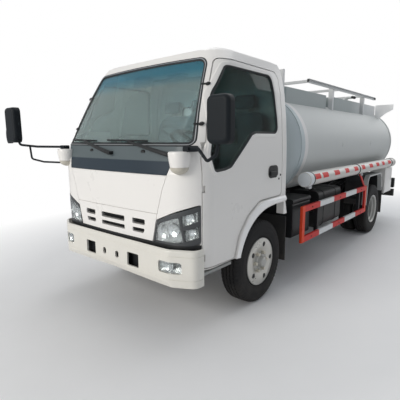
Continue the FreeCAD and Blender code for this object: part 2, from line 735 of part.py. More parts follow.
DOOR = [(-840, 556), (-486, 548), (-464, 556), (-404, 735), (-276, 878), (-92, 977), (300, 984), (300, 2110),
        (-520, 2118), (-596, 2040), (-690, 1830), (-800, 1470), (-840, 1380)]
DOOR_R = [30, 30, 30, 120, 160, 160, 40, 70, 40, 200, 500, 200, 60]
DOOR_WINDOW = [(-768, 1400), (-725, 1272), (-600, 1280), (-520, 1296), (-215, 1545), (-160, 1560), (221, 1560),
               (177, 2069), (-490, 2069), (-683, 1822)]
DOOR_WINDOW_R = [40, 40, 0, 60, 0, 60, 60, 60, 60, 300]
ARCH = [(-457, 540), (-457, 552), (-398, 731), (-271, 871), (-90, 969), (347, 975), (399, 788), (399, 500)]
ARCH_IN = [(-404, 500), (-404, 538), (-333, 700), (-204, 815), (-40, 891), (157, 912), (420, 912), (420, 500)]
SCREEN = [(-822, 1466), (822, 1466), (806, 1560), (684, 2136), (-684, 2136), (-806, 1560)]
SCREEN_R = [60, 60, 100, 90, 90, 100]
REAR_WINDOW = [(-480, 1500), (480, 1500), (450, 1880), (-450, 1880)]
FRONT_PANEL = [(-645, 1253), (-600, 1150), (-541, GRILLE_TOP), (-486, PANEL_LOW), (486, PANEL_LOW),
               (541, GRILLE_TOP), (600, 1150), (645, 1253)]
FRONT_PANEL_R = [0, 150, 400, 16, 16, 400, 150, 0]
GRILLE = [(-700, GRILLE_TOP), (-700, PANEL_LOW - 20), (700, PANEL_LOW - 20), (700, GRILLE_TOP)]
COWL = [(-645, 1253), (645, 1253), (700, 1405), (812, 1438), (826, 1466), (-826, 1466), (-812, 1438),
        (-700, 1405)]
LAMP = [(487, BUMPER_TOP), (900, BUMPER_TOP), (900, 1046), (850, 1040), (700, 985), (560, 925), (500, 900)]
LAMP_R = [0, 0, 0, 60, 0, 60, 30]
LAMP_BACK = -852.0


def offset_wire_face(plane, points, radius, distance, level):
    """Face whose outline is offset outwards by distance."""
    face = Part.Face(outline(plane, points, radius, level))
    return face.makeOffset2D(distance) if abs(distance) > 1e-6 else face


def region(plane, points, radius, distance, low, high):
    """Prism over an outline that is first offset outwards by distance."""
    face = offset_wire_face(plane, points, radius, distance, low)
    return face.extrude(NORMALS[plane] * (high - low))


OUTER = cab_form(0.0)
INNER = cab_form(CAB_WALL)
SKIN = OUTER.cut(INNER)
DOOR_ROOM = OUTER.cut(cab_form(CAB_WALL + DOOR_GAP))


def seam_grooves():
    """Shallow grooves where the front panels meet, cut into both sides."""
    rim = OUTER.cut(cab_form(SEAM_DEEP))
    half = SEAM_W / 2
    rings = []
    for points, radius in ((FRONT_PANEL, FRONT_PANEL_R), (COWL, 0)):
        ring = region("xz", points, radius, half, -1100, -840).cut(region("xz", points, radius, -half, -1101, -839))
        rings.append(ring)
    rings.append(block(-545, 545, -1100, -900, GRILLE_TOP - half, GRILLE_TOP + half))
    return rim.common(fuse(rings))


SEAMS = seam_grooves()


def glass_skin():
    """Thin layer inside the outer surface where the panes lie."""
    return cab_form(GLASS_INSET).cut(cab_form(GLASS_INSET + GLASS_T))


GLASS = glass_skin()


def door_hinges():
    """Leaves and pins on the left door post."""
    solids = []
    for z in HINGE_ZS:
        leaf = prism("xy", [(HINGE_X - 6, HINGE_Y + 10), (HINGE_X + 10, HINGE_Y), (HINGE_X + 2, HINGE_Y - 12),
                            (HINGE_X - 16, HINGE_Y - 46), (HINGE_X - 30, HINGE_Y - 38)], z, z + 50)
        solids += [leaf, bar_z(z, z + 50, HINGE_X, HINGE_Y, 11), bar_z(z - 14, z + 64, HINGE_X, HINGE_Y, 7)]
    return solids


def hinge_pockets():
    """Room in the left door for the hinge leaves, and bores for the pins."""
    solids = []
    for z in HINGE_ZS:
        room = prism("xy", [(HINGE_X - 40, HINGE_Y + 18), (HINGE_X + 15, HINGE_Y + 18), (HINGE_X + 15, HINGE_Y - 4),
                            (HINGE_X + 40, HINGE_Y - 16), (HINGE_X + 40, HINGE_Y - 40),
                            (HINGE_X - 40, HINGE_Y - 40)], z - 1, z + 51)
        solids += [room, bar_z(z - 15, z + 65, HINGE_X, HINGE_Y, 7 + BORE_GAP)]
    return solids


def tunnel_points(sheet):
    """Section of the space over the engine and the frame, grown by a sheet."""
    wide = RAIL_X + 25 + sheet
    narrow = TUNNEL_X - SHEET + sheet
    low = RAIL_HIGH + 40 + sheet
    high = TUNNEL_Z - SHEET + sheet
    return [(-wide, 400), (wide, 400), (wide, low), (narrow, low), (narrow, high), (-narrow, high), (-narrow, low),
            (-wide, low)]


def cab_shell():
    """Cab body: outer form less its inside, its openings and its front panels."""
    rooms = prism("yz", [(-1100, 2400), (-1100, 790), (-880, 790), (-816, 650), (-816, FLOOR_Z), (-520, FLOOR_Z),
                         (-520, SEAT_FLOOR_Z), (500, SEAT_FLOOR_Z), (500, 2400)], -CAB_W, CAB_W)
    tunnel = prism("xz", tunnel_points(SHEET), -1100, 500)
    body = OUTER.cut(INNER.common(rooms).cut(tunnel))
    body = body.cut(prism("xz", tunnel_points(0), -1100, 500))
    body = body.cut(block(-950, 950, -1100, -858, 400, PANEL_LOW))
    body = body.cut(prism("yz", [(-458, 400), (-458, 560), (-440, SEAT_FLOOR_Z - SHEET),
                                 (500, SEAT_FLOOR_Z - SHEET), (500, 400)], -950, 950))
    arch = prism("yz", ARCH, -950, 950, [0, 0, 120, 160, 160, 0, 0, 0])
    for x in (-CAB_W - ARCH_DEEP, CAB_W - ARCH_DEEP):
        body = body.cut(arch.common(block(x, x + 2 * ARCH_DEEP, -500, 500, 400, 1000)))
    pillar = region("xz", SCREEN, SCREEN_R, PILLAR_W - DOOR_GAP, -1200, -380)
    door = region("yz", DOOR, DOOR_R, DOOR_GAP, 560, 950).cut(pillar).common(DOOR_ROOM)
    sweep = bar_z(DOOR[0][1] - DOOR_GAP, 1300, HINGE_X, HINGE_Y, DOOR_SWEEP_R)
    door = door.fuse(sweep.common(block(560, 950, DOOR[0][0] - DOOR_GAP, -600, 400, 1400)))
    door = door.fuse(bar_z(1380, 1490, HINGE_X, HINGE_Y, CORNER_SWEEP_R))
    body = body.cut(door).cut(flip(door))
    body = body.cut(prism("xz", SCREEN, -1200, -380, SCREEN_R))
    body = body.cut(prism("xz", REAR_WINDOW, 300, 500, 50))
    for points, radius in ((FRONT_PANEL, FRONT_PANEL_R), (COWL, 0)):
        body = body.cut(prism("xz", points, -1100, -800, radius).common(SKIN))
    lamp = prism("xz", LAMP, -1100, LAMP_BACK, LAMP_R).common(SKIN)
    body = body.cut(lamp).cut(flip(lamp))
    arms = []
    for s in (-1, 1):
        x = s * (RAIL_X - 6)
        arm = prism("yz", [(-800, 792), (-896, 792), (-950, 722), (PIVOT_Y - 20, PIVOT_Z + 20),
                           (PIVOT_Y - 20, PIVOT_Z - 20), (PIVOT_Y + 30, PIVOT_Z - 22), (-918, 757), (-800, 766)],
                    x - 9, x + 9, [0, 20, 20, 19, 19, 30, 10, 0])
        arms.append(arm.cut(bar_x(x - 20, x + 20, PIVOT_Y, PIVOT_Z, 13 + BORE_GAP)))
    hinges = door_hinges()
    return [fuse([body.cut(SEAMS)] + arms + both(hinges))]


def front_panel():
    """Painted panel between the grille and the cowl."""
    panel = SKIN.common(prism("xz", FRONT_PANEL, -1100, -900, FRONT_PANEL_R))
    return [panel.cut(prism("xz", GRILLE, -1100, -900)).cut(SEAMS)]


def grille():
    """Lower grille with two rows of slots."""
    panel = SKIN.common(prism("xz", GRILLE, -1100, -900))
    panel = panel.common(prism("xz", FRONT_PANEL, -1100, -900, FRONT_PANEL_R))
    for low, high, cut_in in ((849.0, 895.0, 0.0), (783.0, 820.0, 22.0)):
        slots = [[(-160, low), (160, low), (160, high), (-160, high)]]
        for s in (-1, 1):
            slots.append([(s * 258, low), (s * (405 - cut_in), low), (s * 405, high), (s * 258, high)])
        for points in slots:
            panel = panel.cut(prism("xz", points, -1100, -900, 10))
    return [panel.cut(SEAMS)]


def cowl_garnish():
    """Dark trim below the windscreen."""
    return [SKIN.common(prism("xz", COWL, -1100, -800)).cut(SEAMS)]


def headlamp():
    """Left headlamp unit that wraps round the front corner."""
    lamp = SKIN.common(prism("xz", LAMP, -1100, LAMP_BACK, LAMP_R))
    return lamp.cut(prism("xz", FRONT_PANEL, -1100, -900, FRONT_PANEL_R))


def windscreen():
    """Curved front glass."""
    return [GLASS.common(prism("xz", SCREEN, -1200, -380, SCREEN_R))]


def rear_window():
    """Flat glass in the back wall."""
    return [prism("xz", REAR_WINDOW, CAB_BACK - 26, CAB_BACK - 20, 50)]


def arch_flare():
    """Lip round the left wheel arch."""
    outer = prism("yz", ARCH, CAB_W - ARCH_DEEP + 0.3, CAB_W + 16, [0, 0, 120, 160, 160, 30, 20, 0])
    inner = prism("yz", ARCH_IN, CAB_W - 80, CAB_W + 30, [0, 0, 120, 160, 160, 0, 0, 0])
    flare = outer.cut(inner)
    tail = prism("yz", [(330, 788), (330, 915), (402, 915), (402, 788)], CAB_W - ARCH_DEEP + 0.3, CAB_W + 16, 12)
    return fuse([flare, tail.common(outer)])


def door():
    """Left door panel, 45 mm thick, with its window cut out."""
    panel = SKIN.common(prism("yz", DOOR, 560, 950, DOOR_R))
    panel = panel.cut(region("xz", SCREEN, SCREEN_R, PILLAR_W, -1200, -380))
    panel = panel.cut(prism("yz", DOOR_WINDOW, 560, 950, DOOR_WINDOW_R))
    for tool in hinge_pockets():
        panel = panel.cut(tool)
    return panel


def door_glass():
    """Left door window pane."""
    pane = GLASS.common(prism("yz", DOOR_WINDOW, 560, 950, DOOR_WINDOW_R))
    return pane.cut(region("xz", SCREEN, SCREEN_R, PILLAR_W, -1200, -380))


def door_handle():
    """Oval recess plate with a pull bar, on the left door."""
    plate = prism("yz", [(43, 1160), (216, 1160), (216, 1272), (43, 1272)], CAB_W + 0.3, CAB_W + 5, 45)
    pull = prism("yz", [(66, 1182), (193, 1182), (193, 1216), (66, 1216)], CAB_W + 4, CAB_W + 17, 16)
    return fuse([plate, pull])


def cab_step():
    """Step plate under the left door, hung from the floor."""
    tread = round_block(700, 872, -846, -482, 500, 522, 12, "xy")
    hangers = [block(716, 740, y, y + 20, 510, FLOOR_Z - 60) for y in (-800.0, -540.0)]
    return fuse([tread] + hangers)


def mirror_case(x0, x1, y0, y1, z0, z1):
    """Mirror case: rounded in front view, with its front edge rolled over."""
    form = round_block(x0, x1, y0, y1, z0, z1, MIRROR_CORNER_R, "xz")
    rim = [edge for edge in form.Edges if edge.BoundBox.YMax < y0 + 0.1]
    return form.makeFillet(MIRROR_ROLL_R, rim)


def mirror_right():
    """Wide-set mirror on the right, on two arms, with a small round mirror."""
    base = fuse([round_block(-830, -760, -985, -925, 1425, 1462, 12, "xz"),
                 round_block(-850, -795, -975, -925, 1275, 1310, 12, "xz")])
    upper = tube([(-800, -955, 1447), (-1040, -1110, 1450), (-1175, -1215, 1468), (-1195, -1238, 1560)], 11, 30)
    lower = tube([(-830, -955, 1292), (-1000, -1075, 1300), (-1090, -1150, 1330), (-1100, -1155, 1455)], 9, 30)
    case = mirror_case(-1350, -1150, -1275, -1200, 1490, 1830)
    small = Part.makeCylinder(78, 40, V(-1352, -1255, 1560), V(0.2, 1, 0))
    return fuse([base, upper, lower, case, small])


def mirror_left():
    """Mirror by the left door, on one bent arm."""
    base = round_block(795, 845, -970, -860, 1425, 1466, 12, "xz")
    arm = tube([(820, -945, 1450), (915, -945, 1450), (995, -947, 1366), (1080, -960, 1409), (1120, -978, 1519)],
               11, 24)
    case = mirror_case(1041, 1221, -1024, -952, 1479, 1785)
    return fuse([base, arm, case])


def mirrors():
    """The two outside mirrors."""
    return [mirror_right().cut(OUTER), mirror_left().cut(OUTER)]


def skin_y(x, z):
    """Front surface of the cab at one point of the front view."""
    low = [level for level in CAB_LEVELS if level[0] <= z][-1]
    high = [level for level in CAB_LEVELS if level[0] > z][0]
    share = (z - low[0]) / (high[0] - low[0])
    _, narrow, back, corner, sweep = [a + (b - a) * share for a, b in zip(low, high)]
    bow = CAB_FRONT + back + sweep
    cx = CAB_W + narrow - corner
    if abs(x) <= cx * sweep / (sweep - corner):
        return bow - math.sqrt(sweep ** 2 - x * x)
    return bow - math.sqrt((sweep - corner) ** 2 - cx * cx) - math.sqrt(corner ** 2 - (abs(x) - cx) ** 2)


def wipers():
    """Two wiper arms with blades that follow the glass."""
    solids = []
    for (px, pz), start, end in WIPERS:
        line = []
        for i in range(7):
            x = start[0] + (end[0] - start[0]) * i / 6
            z = start[1] + (end[1] - start[1]) * i / 6
            line.append((x, skin_y(x, z) + GLASS_INSET - 1.3 * BLADE_R - 0.5, z))
        pivot_y = skin_y(px, pz)
        mid = line[3]
        knob = bar_y(pivot_y - 42, pivot_y + 20, px, pz, 15)
        arm = tube([(px, pivot_y - 35, pz), (px - 60, pivot_y - 37, pz + 12), (mid[0], mid[1] - 10, mid[2])], 6, 10)
        solids.append(fuse([fuse([knob, arm]).cut(OUTER), tube(line, BLADE_R, 60)]))
    return solids


def seats():
    """Driver's seat and double passenger seat, with backs and head rests."""
    solids = []
    for x0, x1, heads in ((230.0, 720.0, (475.0,)), (-720.0, 190.0, (-520.0, -100.0))):
        base = round_block(x0, x1, -330, 190, 1060, 1180, 50, "yz")
        plinth = block(x0 + 40, x1 - 40, -290, 170, TUNNEL_Z + 0.3, 1075)
        back = prism("yz", [(120, 1150), (230, 1150), (330, 1780), (240, 1790)], x0, x1, 30)
        rests = [prism("yz", [(250, 1800), (320, 1800), (340, 1940), (268, 1945)], x - 120, x + 120, 30)
                 for x in heads]
        stalks = [block(x - 12, x + 12, 270, 296, 1760, 1820) for x in heads]
        legs = []
        if x1 > TUNNEL_X:
            legs.append(block(max(x0, TUNNEL_X) + 60, x1 - 60, -270, 150, SEAT_FLOOR_Z + 0.3, 1070))
        if x0 < -TUNNEL_X:
            legs.append(block(x0 + 60, -TUNNEL_X - 60, -270, 150, SEAT_FLOOR_Z + 0.3, 1070))
        solids.append(fuse([base, plinth, back] + rests + stalks + legs))
    return solids


def dashboard():
    """Full-width dashboard with an instrument hood."""
    body = prism("yz", [(-885, 1180), (-640, 1150), (-610, 1330), (-690, 1400), (-880, 1425)], -770, 770,
                 [10, 30, 30, 40, 10])
    hood = prism("yz", [(-700, 1360), (-620, 1330), (-590, 1400), (-680, 1450)], 270, 660, 20)
    column = steering_wheel()[0].BoundBox
    slot = prism("yz", [(-720, 1100), (column.YMax, 1100), (-560, 1420), (-640, 1300)], 475 - 30.3, 475 + 30.3)
    return [fuse([body, hood]).common(INNER).cut(slot)]


def steering_wheel():
    """Wheel and column on the vehicle's left."""
    rim = Part.makeTorus(205, 15)
    hub = Part.makeCylinder(48, 40, V(0, 0, -30))
    parts = [rim, hub]
    for degrees in (30.0, 150.0, 270.0):
        spoke = Part.makeBox(205, 34, 16, V(0, -17, -14))
        spoke.rotate(V(0, 0, 0), V(0, 0, 1), degrees)
        parts.append(spoke)
    parts.append(Part.makeCylinder(30, 300, V(0, 0, -320)))
    wheel = fuse(parts)
    wheel.rotate(V(0, 0, 0), V(1, 0, 0), -28)
    wheel.translate(V(475, -480, 1480))
    return [wheel]


# Front and side equipment on the frame

def bumper_wire(z, inset):
    """Plan of the bumper at one height, swept back at its ends."""
    w = BUMPER_W - inset
    f = BUMPER_FRONT + inset
    back = BUMPER_BACK + min(inset, 10.0)
    return outline("xy", [(-w, back), (-w, f + 105), (-w + 190, f + 6), (0, f), (w - 190, f + 6), (w, f + 105),
                          (w, back)], [0, 90, 120, 0, 120, 90, 0], z)


def front_bumper():
    """Bumper shell with a fold line, openings and a stay to each rail."""
    outer = Part.Face(bumper_wire(BUMPER_LOW, 0)).extrude(V(0, 0, BUMPER_TOP - BUMPER_LOW))
    inner = Part.Face(bumper_wire(BUMPER_LOW - 1, BUMPER_WALL)).extrude(V(0, 0, BUMPER_TOP - BUMPER_LOW + 2))
    under = prism("yz", [(BUMPER_FRONT - 5, 380), (BUMPER_FRONT - 5, 480), (BUMPER_FRONT, 480),
                         (BUMPER_FRONT + 22, 420)], -950, 950)
    rim = [edge for edge in outer.Edges if edge.BoundBox.ZMin > BUMPER_TOP - 0.1 and edge.BoundBox.YMin < BUMPER_BACK - 1]
    shell = outer.makeFillet(BUMPER_TOP_R, rim).cut(inner).cut(under)
    for z in BUMPER_FOLDS:
        ring = Part.Face(bumper_wire(z, -5)).extrude(V(0, 0, 5))
        shell = shell.cut(ring.cut(Part.Face(bumper_wire(z - 1, 2.5)).extrude(V(0, 0, 7))))
    for x in (-294.0, 294.0):
        shell = shell.cut(round_block(x - 70, x + 70, -1100, -900, 500, 612, 8, "xz"))
    for x in (-87.0, 87.0):
        shell = shell.cut(round_block(x - 22, x + 22, -1100, -900, 530, 590, 20, "xz"))
    for x in (-FOG_X, FOG_X):
        shell = shell.cut(round_block(x - FOG_HALF, x + FOG_HALF, -1100, -880, FOG_LOW, FOG_HIGH, 20, "xz"))
    stays = []
    for x in (-240.0, 240.0):
        stays.append(block(x - 35, x + 35, BUMPER_FRONT + BUMPER_WALL - 2, FRAME_FRONT + 40, 622, 636))
        stays.append(block(*sorted((x - 35, math.copysign(RAIL_X - RAIL_WALL, x))), FRAME_FRONT, FRAME_FRONT + 40,
                           622, 636))
    return [fuse([shell] + stays)]


def fog_lamp():
    """Left fog lamp in its bumper opening."""
    form = Part.Face(bumper_wire(400, 6)).extrude(V(0, 0, 400))
    x, half = FOG_X, FOG_HALF - 0.3
    return round_block(x - half, x + half, -1100, -955, FOG_LOW + 0.3, FOG_HIGH - 0.3, 20, "xz").common(form)


def hose_tube():
    """Left hose carrier: closed tube with collars, a cap and three arms."""
    y0, y1 = HOSE_SPAN
    parts = [bar_y(y0 + 14, y1 - 14, HOSE_X, HOSE_Z, HOSE_R), bar_y(y0, y0 + 90, HOSE_X, HOSE_Z, HOSE_R + 5),
             bar_y(y1 - 60, y1, HOSE_X, HOSE_Z, HOSE_R + 5)]
    for y in (822.0, 2335.0, 4073.0):
        parts.append(bar_y(y - 12, y + 12, HOSE_X, HOSE_Z, HOSE_R + 4))
    for y in (910.0, 2576.0, 4073.0):
        parts.append(block(560, HOSE_X - 40, y - 10, y + 10, HOSE_Z - 40, HOSE_Z + 20))
    body = fuse(parts)
    return body.cut(tank_barrel(TANK_FRONT, TANK_REAR))


def side_guard():
    """Left underrun guard: rectangular frame on two arms, with a rear stay."""
    y0, y1 = GUARD_SPAN
    x0 = GUARD_X - GUARD_T / 2
    x1 = GUARD_X + GUARD_T / 2
    b = GUARD_BAR
    frame = block(x0, x1, y0, y1, GUARD_LOW, GUARD_HIGH)
    frame = frame.cut(block(x0 - 1, x1 + 1, y0 + b, y1 - b, GUARD_LOW + b, GUARD_HIGH - b))
    arms = []
    for y in (1110.0, 2600.0):
        arms.append(block(RAIL_X, x0 + 2, y, y + 40, 640, 680))
        arms.append(block(x0 - 38, x0 + 2, y, y + 40, GUARD_LOW + 8, GUARD_HIGH - 8))
    stay = prism("yz", [(y1 - 8, GUARD_HIGH - 20), (y1 - 60, GUARD_HIGH - 20), (2552, 1000), (2600, 1008)],
                 x0, x0 + 12)
    tab = block(HOSE_X - 6, x0 + 12, 2552, 2600, 985, HOSE_Z - HOSE_R - 4.3)
    return fuse([frame, stay, tab] + arms)


def rear_fender():
    """Left mudguard: folded sheet with a flat top, on two brackets."""
    outer = [(2950, 500), (2990, 880), (3060, FENDER_TOP), (3690, FENDER_TOP), (3765, 880), (3800, 640)]
    inner = [(3774, 640), (3742, 868), (3678, FENDER_TOP - 22), (3072, FENDER_TOP - 22), (3016, 868), (2976, 500)]
    sheet = prism("yz", outer + inner, FENDER_IN, FENDER_OUT, [0, 90, 60, 60, 90, 0, 0, 70, 40, 40, 70, 0])
    arms = []
    for y in (3090.0, 3630.0):
        arms.append(prism("xz", [(RAIL_X, 690), (RAIL_X, 745), (FENDER_IN + 20, FENDER_TOP - 22),
                                 (FENDER_IN + 60, FENDER_TOP - 22), (RAIL_X + 26, 690)], y, y + 30))
    return fuse([sheet] + arms)


def cabinet():
    """Left valve cabinet: open box with its door plate left out."""
    y0, y1 = CABINET_SPAN
    z0, z1 = CABINET_Z
    t = CABINET_WALL
    body = block(CABINET_IN, CABINET_OUT, y0, y1, z0, z1)
    body = body.cut(block(CABINET_IN + t, CABINET_OUT + 5, y0 + t, y1 - t, z0 + t, z1 - t))
    arms = [block(RAIL_X, CABINET_IN, y, y + 40, 660, 710) for y in (y0 + 160, y1 - 60)]
    outlet = [bar_x(CABINET_IN + t, CABINET_OUT - 70, (y0 + y1) / 2, 780, 45),
              bar_x(CABINET_OUT - 90, CABINET_OUT - 60, (y0 + y1) / 2, 780, 62)]
    lugs_at = [block(CABINET_OUT - 6, CABINET_OUT + 2 * HINGE_EDGE, y0, y0 + 2 * HINGE_EDGE, z, z + 7)
               for z in (z0 - 6, z1 - 1)]
    pins = [bar_z(z, z + 46, CABINET_OUT + HINGE_EDGE + 0.8, y0 + HINGE_EDGE, 4) for z in (z0 - 6, z1 - 40)]
    return fuse([body] + arms + outlet + lugs_at + pins)


def cabinet_door():
    """Left cabinet door, let into the opening, hinged at the front."""
    y0, y1 = CABINET_SPAN
    z0, z1 = CABINET_Z
    x0 = CABINET_OUT + 0.8
    x1 = x0 + 2 * HINGE_EDGE
    plate = block(x0, x1, y0 + HINGE_EDGE, y1, z0 + 2, z1 - 2)
    edge = bar_z(z0 + 2, z1 - 2, x0 + HINGE_EDGE, y0 + HINGE_EDGE, HINGE_EDGE)
    knob = round_block(x1 - 2, x1 + 12, y1 - 90, y1 - 60, 780, 850, 10, "yz")
    whole = fuse([plate, edge, knob])
    return whole.cut(bar_z(z0, z1, x0 + HINGE_EDGE, y0 + HINGE_EDGE, 4 + BORE_GAP))


def mud_flap(y, x0, x1, z0, z1):
    """Hanging rubber flap with its bracket to the frame."""
    flap = block(x0, x1, y, y + 12, z0, z1)
    arm = block(RAIL_X, x1 - 20, y + 12, y + 40, z1 - 60, z1 - 20)
    return fuse([flap, arm])


def mud_flaps():
    """Flaps behind the front and rear wheels."""
    return both([mud_flap(478.0, 560, 856, 270, 731), mud_flap(3850.0, 500, 925, 250, 690)])


def fuel_tank():
    """Fuel tank on the left, with rounded edges and two straps."""
    body = round_block(500, 880, 1250, 1967, 467, 900, 60, "xz")
    straps = [round_block(496, 884, y, y + 30, 463, 904, 62, "xz") for y in (1400.0, 1780.0)]
    arms = [block(RAIL_X, 520, y, y + 30, 640, 700) for y in (1400.0, 1780.0)]
    cap = bar_z(895, 930, 760, 1330, 38)
    return [fuse([body, cap] + straps + arms)]


def battery_box():
    """Battery box on the left, behind the cab."""
    body = round_block(520, 870, 600, 1021, 479, 840, 20, "xz")
    lid = round_block(512, 878, 592, 1029, 835, 890, 25, "xz")
    arms = [block(RAIL_X, 530, y, y + 30, 640, 700) for y in (680.0, 900.0)]
    return [fuse([body, lid] + arms)]


def air_tanks():
    """Brake air tanks on the right, slung beside the rail."""
    parts = []
    for x in (-560.0, -760.0):
        parts.append(bar_y(600, 1080, x, 620, 90))
    arms = [block(-800, -RAIL_X, y, y + 24, 608, 632) for y in (700.0, 960.0)]
    return [fuse(parts + arms)]


def silencer():
    """Silencer and tail pipe on the right."""
    body = bar_y(1500, 2250, -640, 590, 120)
    pipe = tube([(-640, 2240, 590), (-640, 2420, 590), (-860, 2560, 400)], 34, 90)
    arms = [block(-640, -RAIL_X, y, y + 24, 640, 664) for y in (1600.0, 2120.0)]
    return [fuse([body, pipe] + arms)]


def rear_underrun():
    """Rear cross-bar with its hangers."""
    bar = round_block(-917, 917, 4700, 4770, 430, 560, 10, "yz")
    hangers = [block(*sorted((s * 300, s * 345)), 4600, 4702, 440, RAIL_LOW) for s in (-1, 1)]
    return [fuse([bar] + hangers)]


def rear_lamps():
    """Lamp carrier across the rear with a lamp block at each end."""
    bar = block(-760, 760, FRAME_REAR, FRAME_REAR + 8, 640, 730)
    for x in (-PLATE_PITCH / 2, PLATE_PITCH / 2):
        bar = bar.cut(bar_y(FRAME_REAR - 5, FRAME_REAR + 20, x, 685, PLATE_HOLE_R))
    lamp = round_block(750, 920, FRAME_REAR + 2, FRAME_REAR + 70, 590, 770, 12, "xz")
    return [fuse([bar, lamp, flip(lamp)])]


def ladder():
    """Rear ladder to the walkway, on stand-off feet."""
    parts = []
    for x in (-540.0, -220.0):
        parts.append(tube([(x, FRAME_REAR + 45, 640), (x, FRAME_REAR + 45, 2050),
                           (x, COAMING_SPANS[2][1] + 0.3, 2050)], 14, 90))
    for i in range(6):
        z = 760 + i * 230
        parts.append(bar_x(-540, -220, FRAME_REAR + 45, z, 11))
    foot = block(-560, -200, FRAME_REAR + 8, FRAME_REAR + 60, 655, 675)
    return [fuse(parts + [foot])]


def placed(shape, x, y, z):
    """Copy of a shape moved to a place."""
    copy = shape.copy()
    copy.translate(V(x, y, z))
    return copy


LEFT_RIM = front_rim()
LEFT_DOOR = door()
LEFT_GLASS = door_glass()
LEFT_HANDLE = door_handle()
LEFT_KNUCKLE = knuckle()
LEFT_RIMS = rear_rims()
LEFT_CABINET_DOOR = cabinet_door()
FRONT_TYRE = tyre(FRONT_TRACK_HALF, 0)
REAR_TYRES = [tyre(REAR_OUTER_X, WHEELBASE), tyre(REAR_INNER_X, WHEELBASE)]
RIM_L = placed(LEFT_RIM, FRONT_TRACK_HALF, 0, TYRE_R)

PIECES = {
    "frame_rails": frame_rails(),
    "frame_crossmembers": frame_crossmembers() + cab_hinge(),
    "front_axle": front_axle(),
    "rear_axle": rear_axle(),
    "leaf_springs": front_springs() + rear_springs(),
    "engine_block": engine(),
    "radiator": radiator(),
    "propeller_shaft": prop_shaft(),
    "fuel_tank": fuel_tank(),
    "battery_box": battery_box(),
    "air_tanks": air_tanks(),
    "silencer": silencer(),
    "front_bumper": front_bumper(),
    "fog_lamps": both([fog_lamp()]),
    "tank": tank(),
    "tank_saddles": tank_saddles(),
    "coamings": coamings(),
    "rail_posts": rail_posts() + rear_wings(),
    "handrails": handrails(),
    "tank_fittings": lid_mounts() + roof_valves(),
    "manhole_lid_front": manhole_lid(MANHOLE_YS[0]),
    "manhole_lid_rear": manhole_lid(MANHOLE_YS[1]),
    "hose_tubes": both([hose_tube()]),
    "side_guards": both([side_guard()]),
    "rear_fenders": both([rear_fender()]),
    "valve_cabinets": both([cabinet()]),
    "mud_flaps": mud_flaps(),
    "rear_underrun": rear_underrun(),
    "rear_lamps": rear_lamps(),
    "ladder": ladder(),
    "cab_shell": cab_shell(),
    "front_panel": front_panel(),
    "grille": grille(),
    "cowl_garnish": cowl_garnish(),
    "headlamps": both([headlamp()]),
    "cab_glass": windscreen() + rear_window(),
    "arch_flares": both([arch_flare()]),
    "cab_steps": both([cab_step()]),
    "mirrors": mirrors(),
    "wipers": wipers(),
    "seats": seats(),
    "dashboard": dashboard(),
    "steering_wheel": steering_wheel(),
    "tie_rod": tie_rod(),
    "door_left": [LEFT_DOOR, LEFT_HANDLE],
    "door_right": [flip(LEFT_DOOR), flip(LEFT_HANDLE)],
    "door_glass_left": [LEFT_GLASS],
    "door_glass_right": [flip(LEFT_GLASS)],
    "knuckle_left": [LEFT_KNUCKLE],
    "knuckle_right": [flip(LEFT_KNUCKLE)],
}
WHEELS = {
    "front_tyre_left": [FRONT_TYRE],
    "front_tyre_right": [flip(FRONT_TYRE)],
    "front_rim_left": [RIM_L],
    "front_rim_right": [flip(RIM_L)],
    "rear_tyres_left": REAR_TYRES,
    "rear_tyres_right": [flip(s) for s in REAR_TYRES],
    "rear_rims_left": [LEFT_RIMS],
    "rear_rims_right": [flip(LEFT_RIMS)],
    "cabinet_door_left": [LEFT_CABINET_DOOR],
    "cabinet_door_right": [flip(LEFT_CABINET_DOOR)],
}
PIECES.update(WHEELS)


def main():
    """Write one STEP file for each piece."""
    os.makedirs("parts", exist_ok=True)
    for name, solids in PIECES.items():
        loose = [s for shape in solids for s in shape.Solids]
        whole = loose[0] if len(loose) == 1 else Part.makeCompound(loose)
        whole.exportStep("parts/" + name + ".step")
        print(name, len(loose), round(whole.Volume / 1e9, 4), whole.isValid())


main()
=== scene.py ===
"""Looks of a light cab-over tanker truck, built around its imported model.

Every size below is in millimetres until a mesh is made; the mesh itself is in metres.
+X is the vehicle's left, +Y runs to the rear, +Z is up, and the origin is on the
ground under the front axle.
"""

import json
import logging
import math
from collections.abc import Callable, Sequence
from dataclasses import dataclass
from enum import Enum

import bmesh
import bpy
import numpy as np
from mathutils import Matrix


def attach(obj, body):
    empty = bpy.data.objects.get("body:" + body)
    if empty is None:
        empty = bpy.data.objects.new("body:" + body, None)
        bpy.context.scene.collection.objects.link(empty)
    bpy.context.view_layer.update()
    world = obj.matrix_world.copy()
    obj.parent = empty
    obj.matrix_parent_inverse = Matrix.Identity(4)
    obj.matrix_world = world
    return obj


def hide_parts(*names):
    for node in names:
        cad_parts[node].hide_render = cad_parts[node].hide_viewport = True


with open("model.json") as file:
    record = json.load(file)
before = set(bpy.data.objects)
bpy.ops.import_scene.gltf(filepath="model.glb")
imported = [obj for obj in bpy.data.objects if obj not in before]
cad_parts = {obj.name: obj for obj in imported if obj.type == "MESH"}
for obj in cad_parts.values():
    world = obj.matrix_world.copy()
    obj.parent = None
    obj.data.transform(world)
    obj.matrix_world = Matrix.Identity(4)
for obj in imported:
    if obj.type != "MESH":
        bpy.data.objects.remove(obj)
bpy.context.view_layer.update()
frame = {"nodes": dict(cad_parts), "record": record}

LOG = logging.getLogger("tanker")
MM = 0.001
SHARP_ANGLE = math.radians(34.0)

Array = np.ndarray
Piece = bpy.types.Object
Colour = tuple[float, float, float]
Project = Callable[[Array, Array, Array], Array]
Socket = bpy.types.NodeSocket


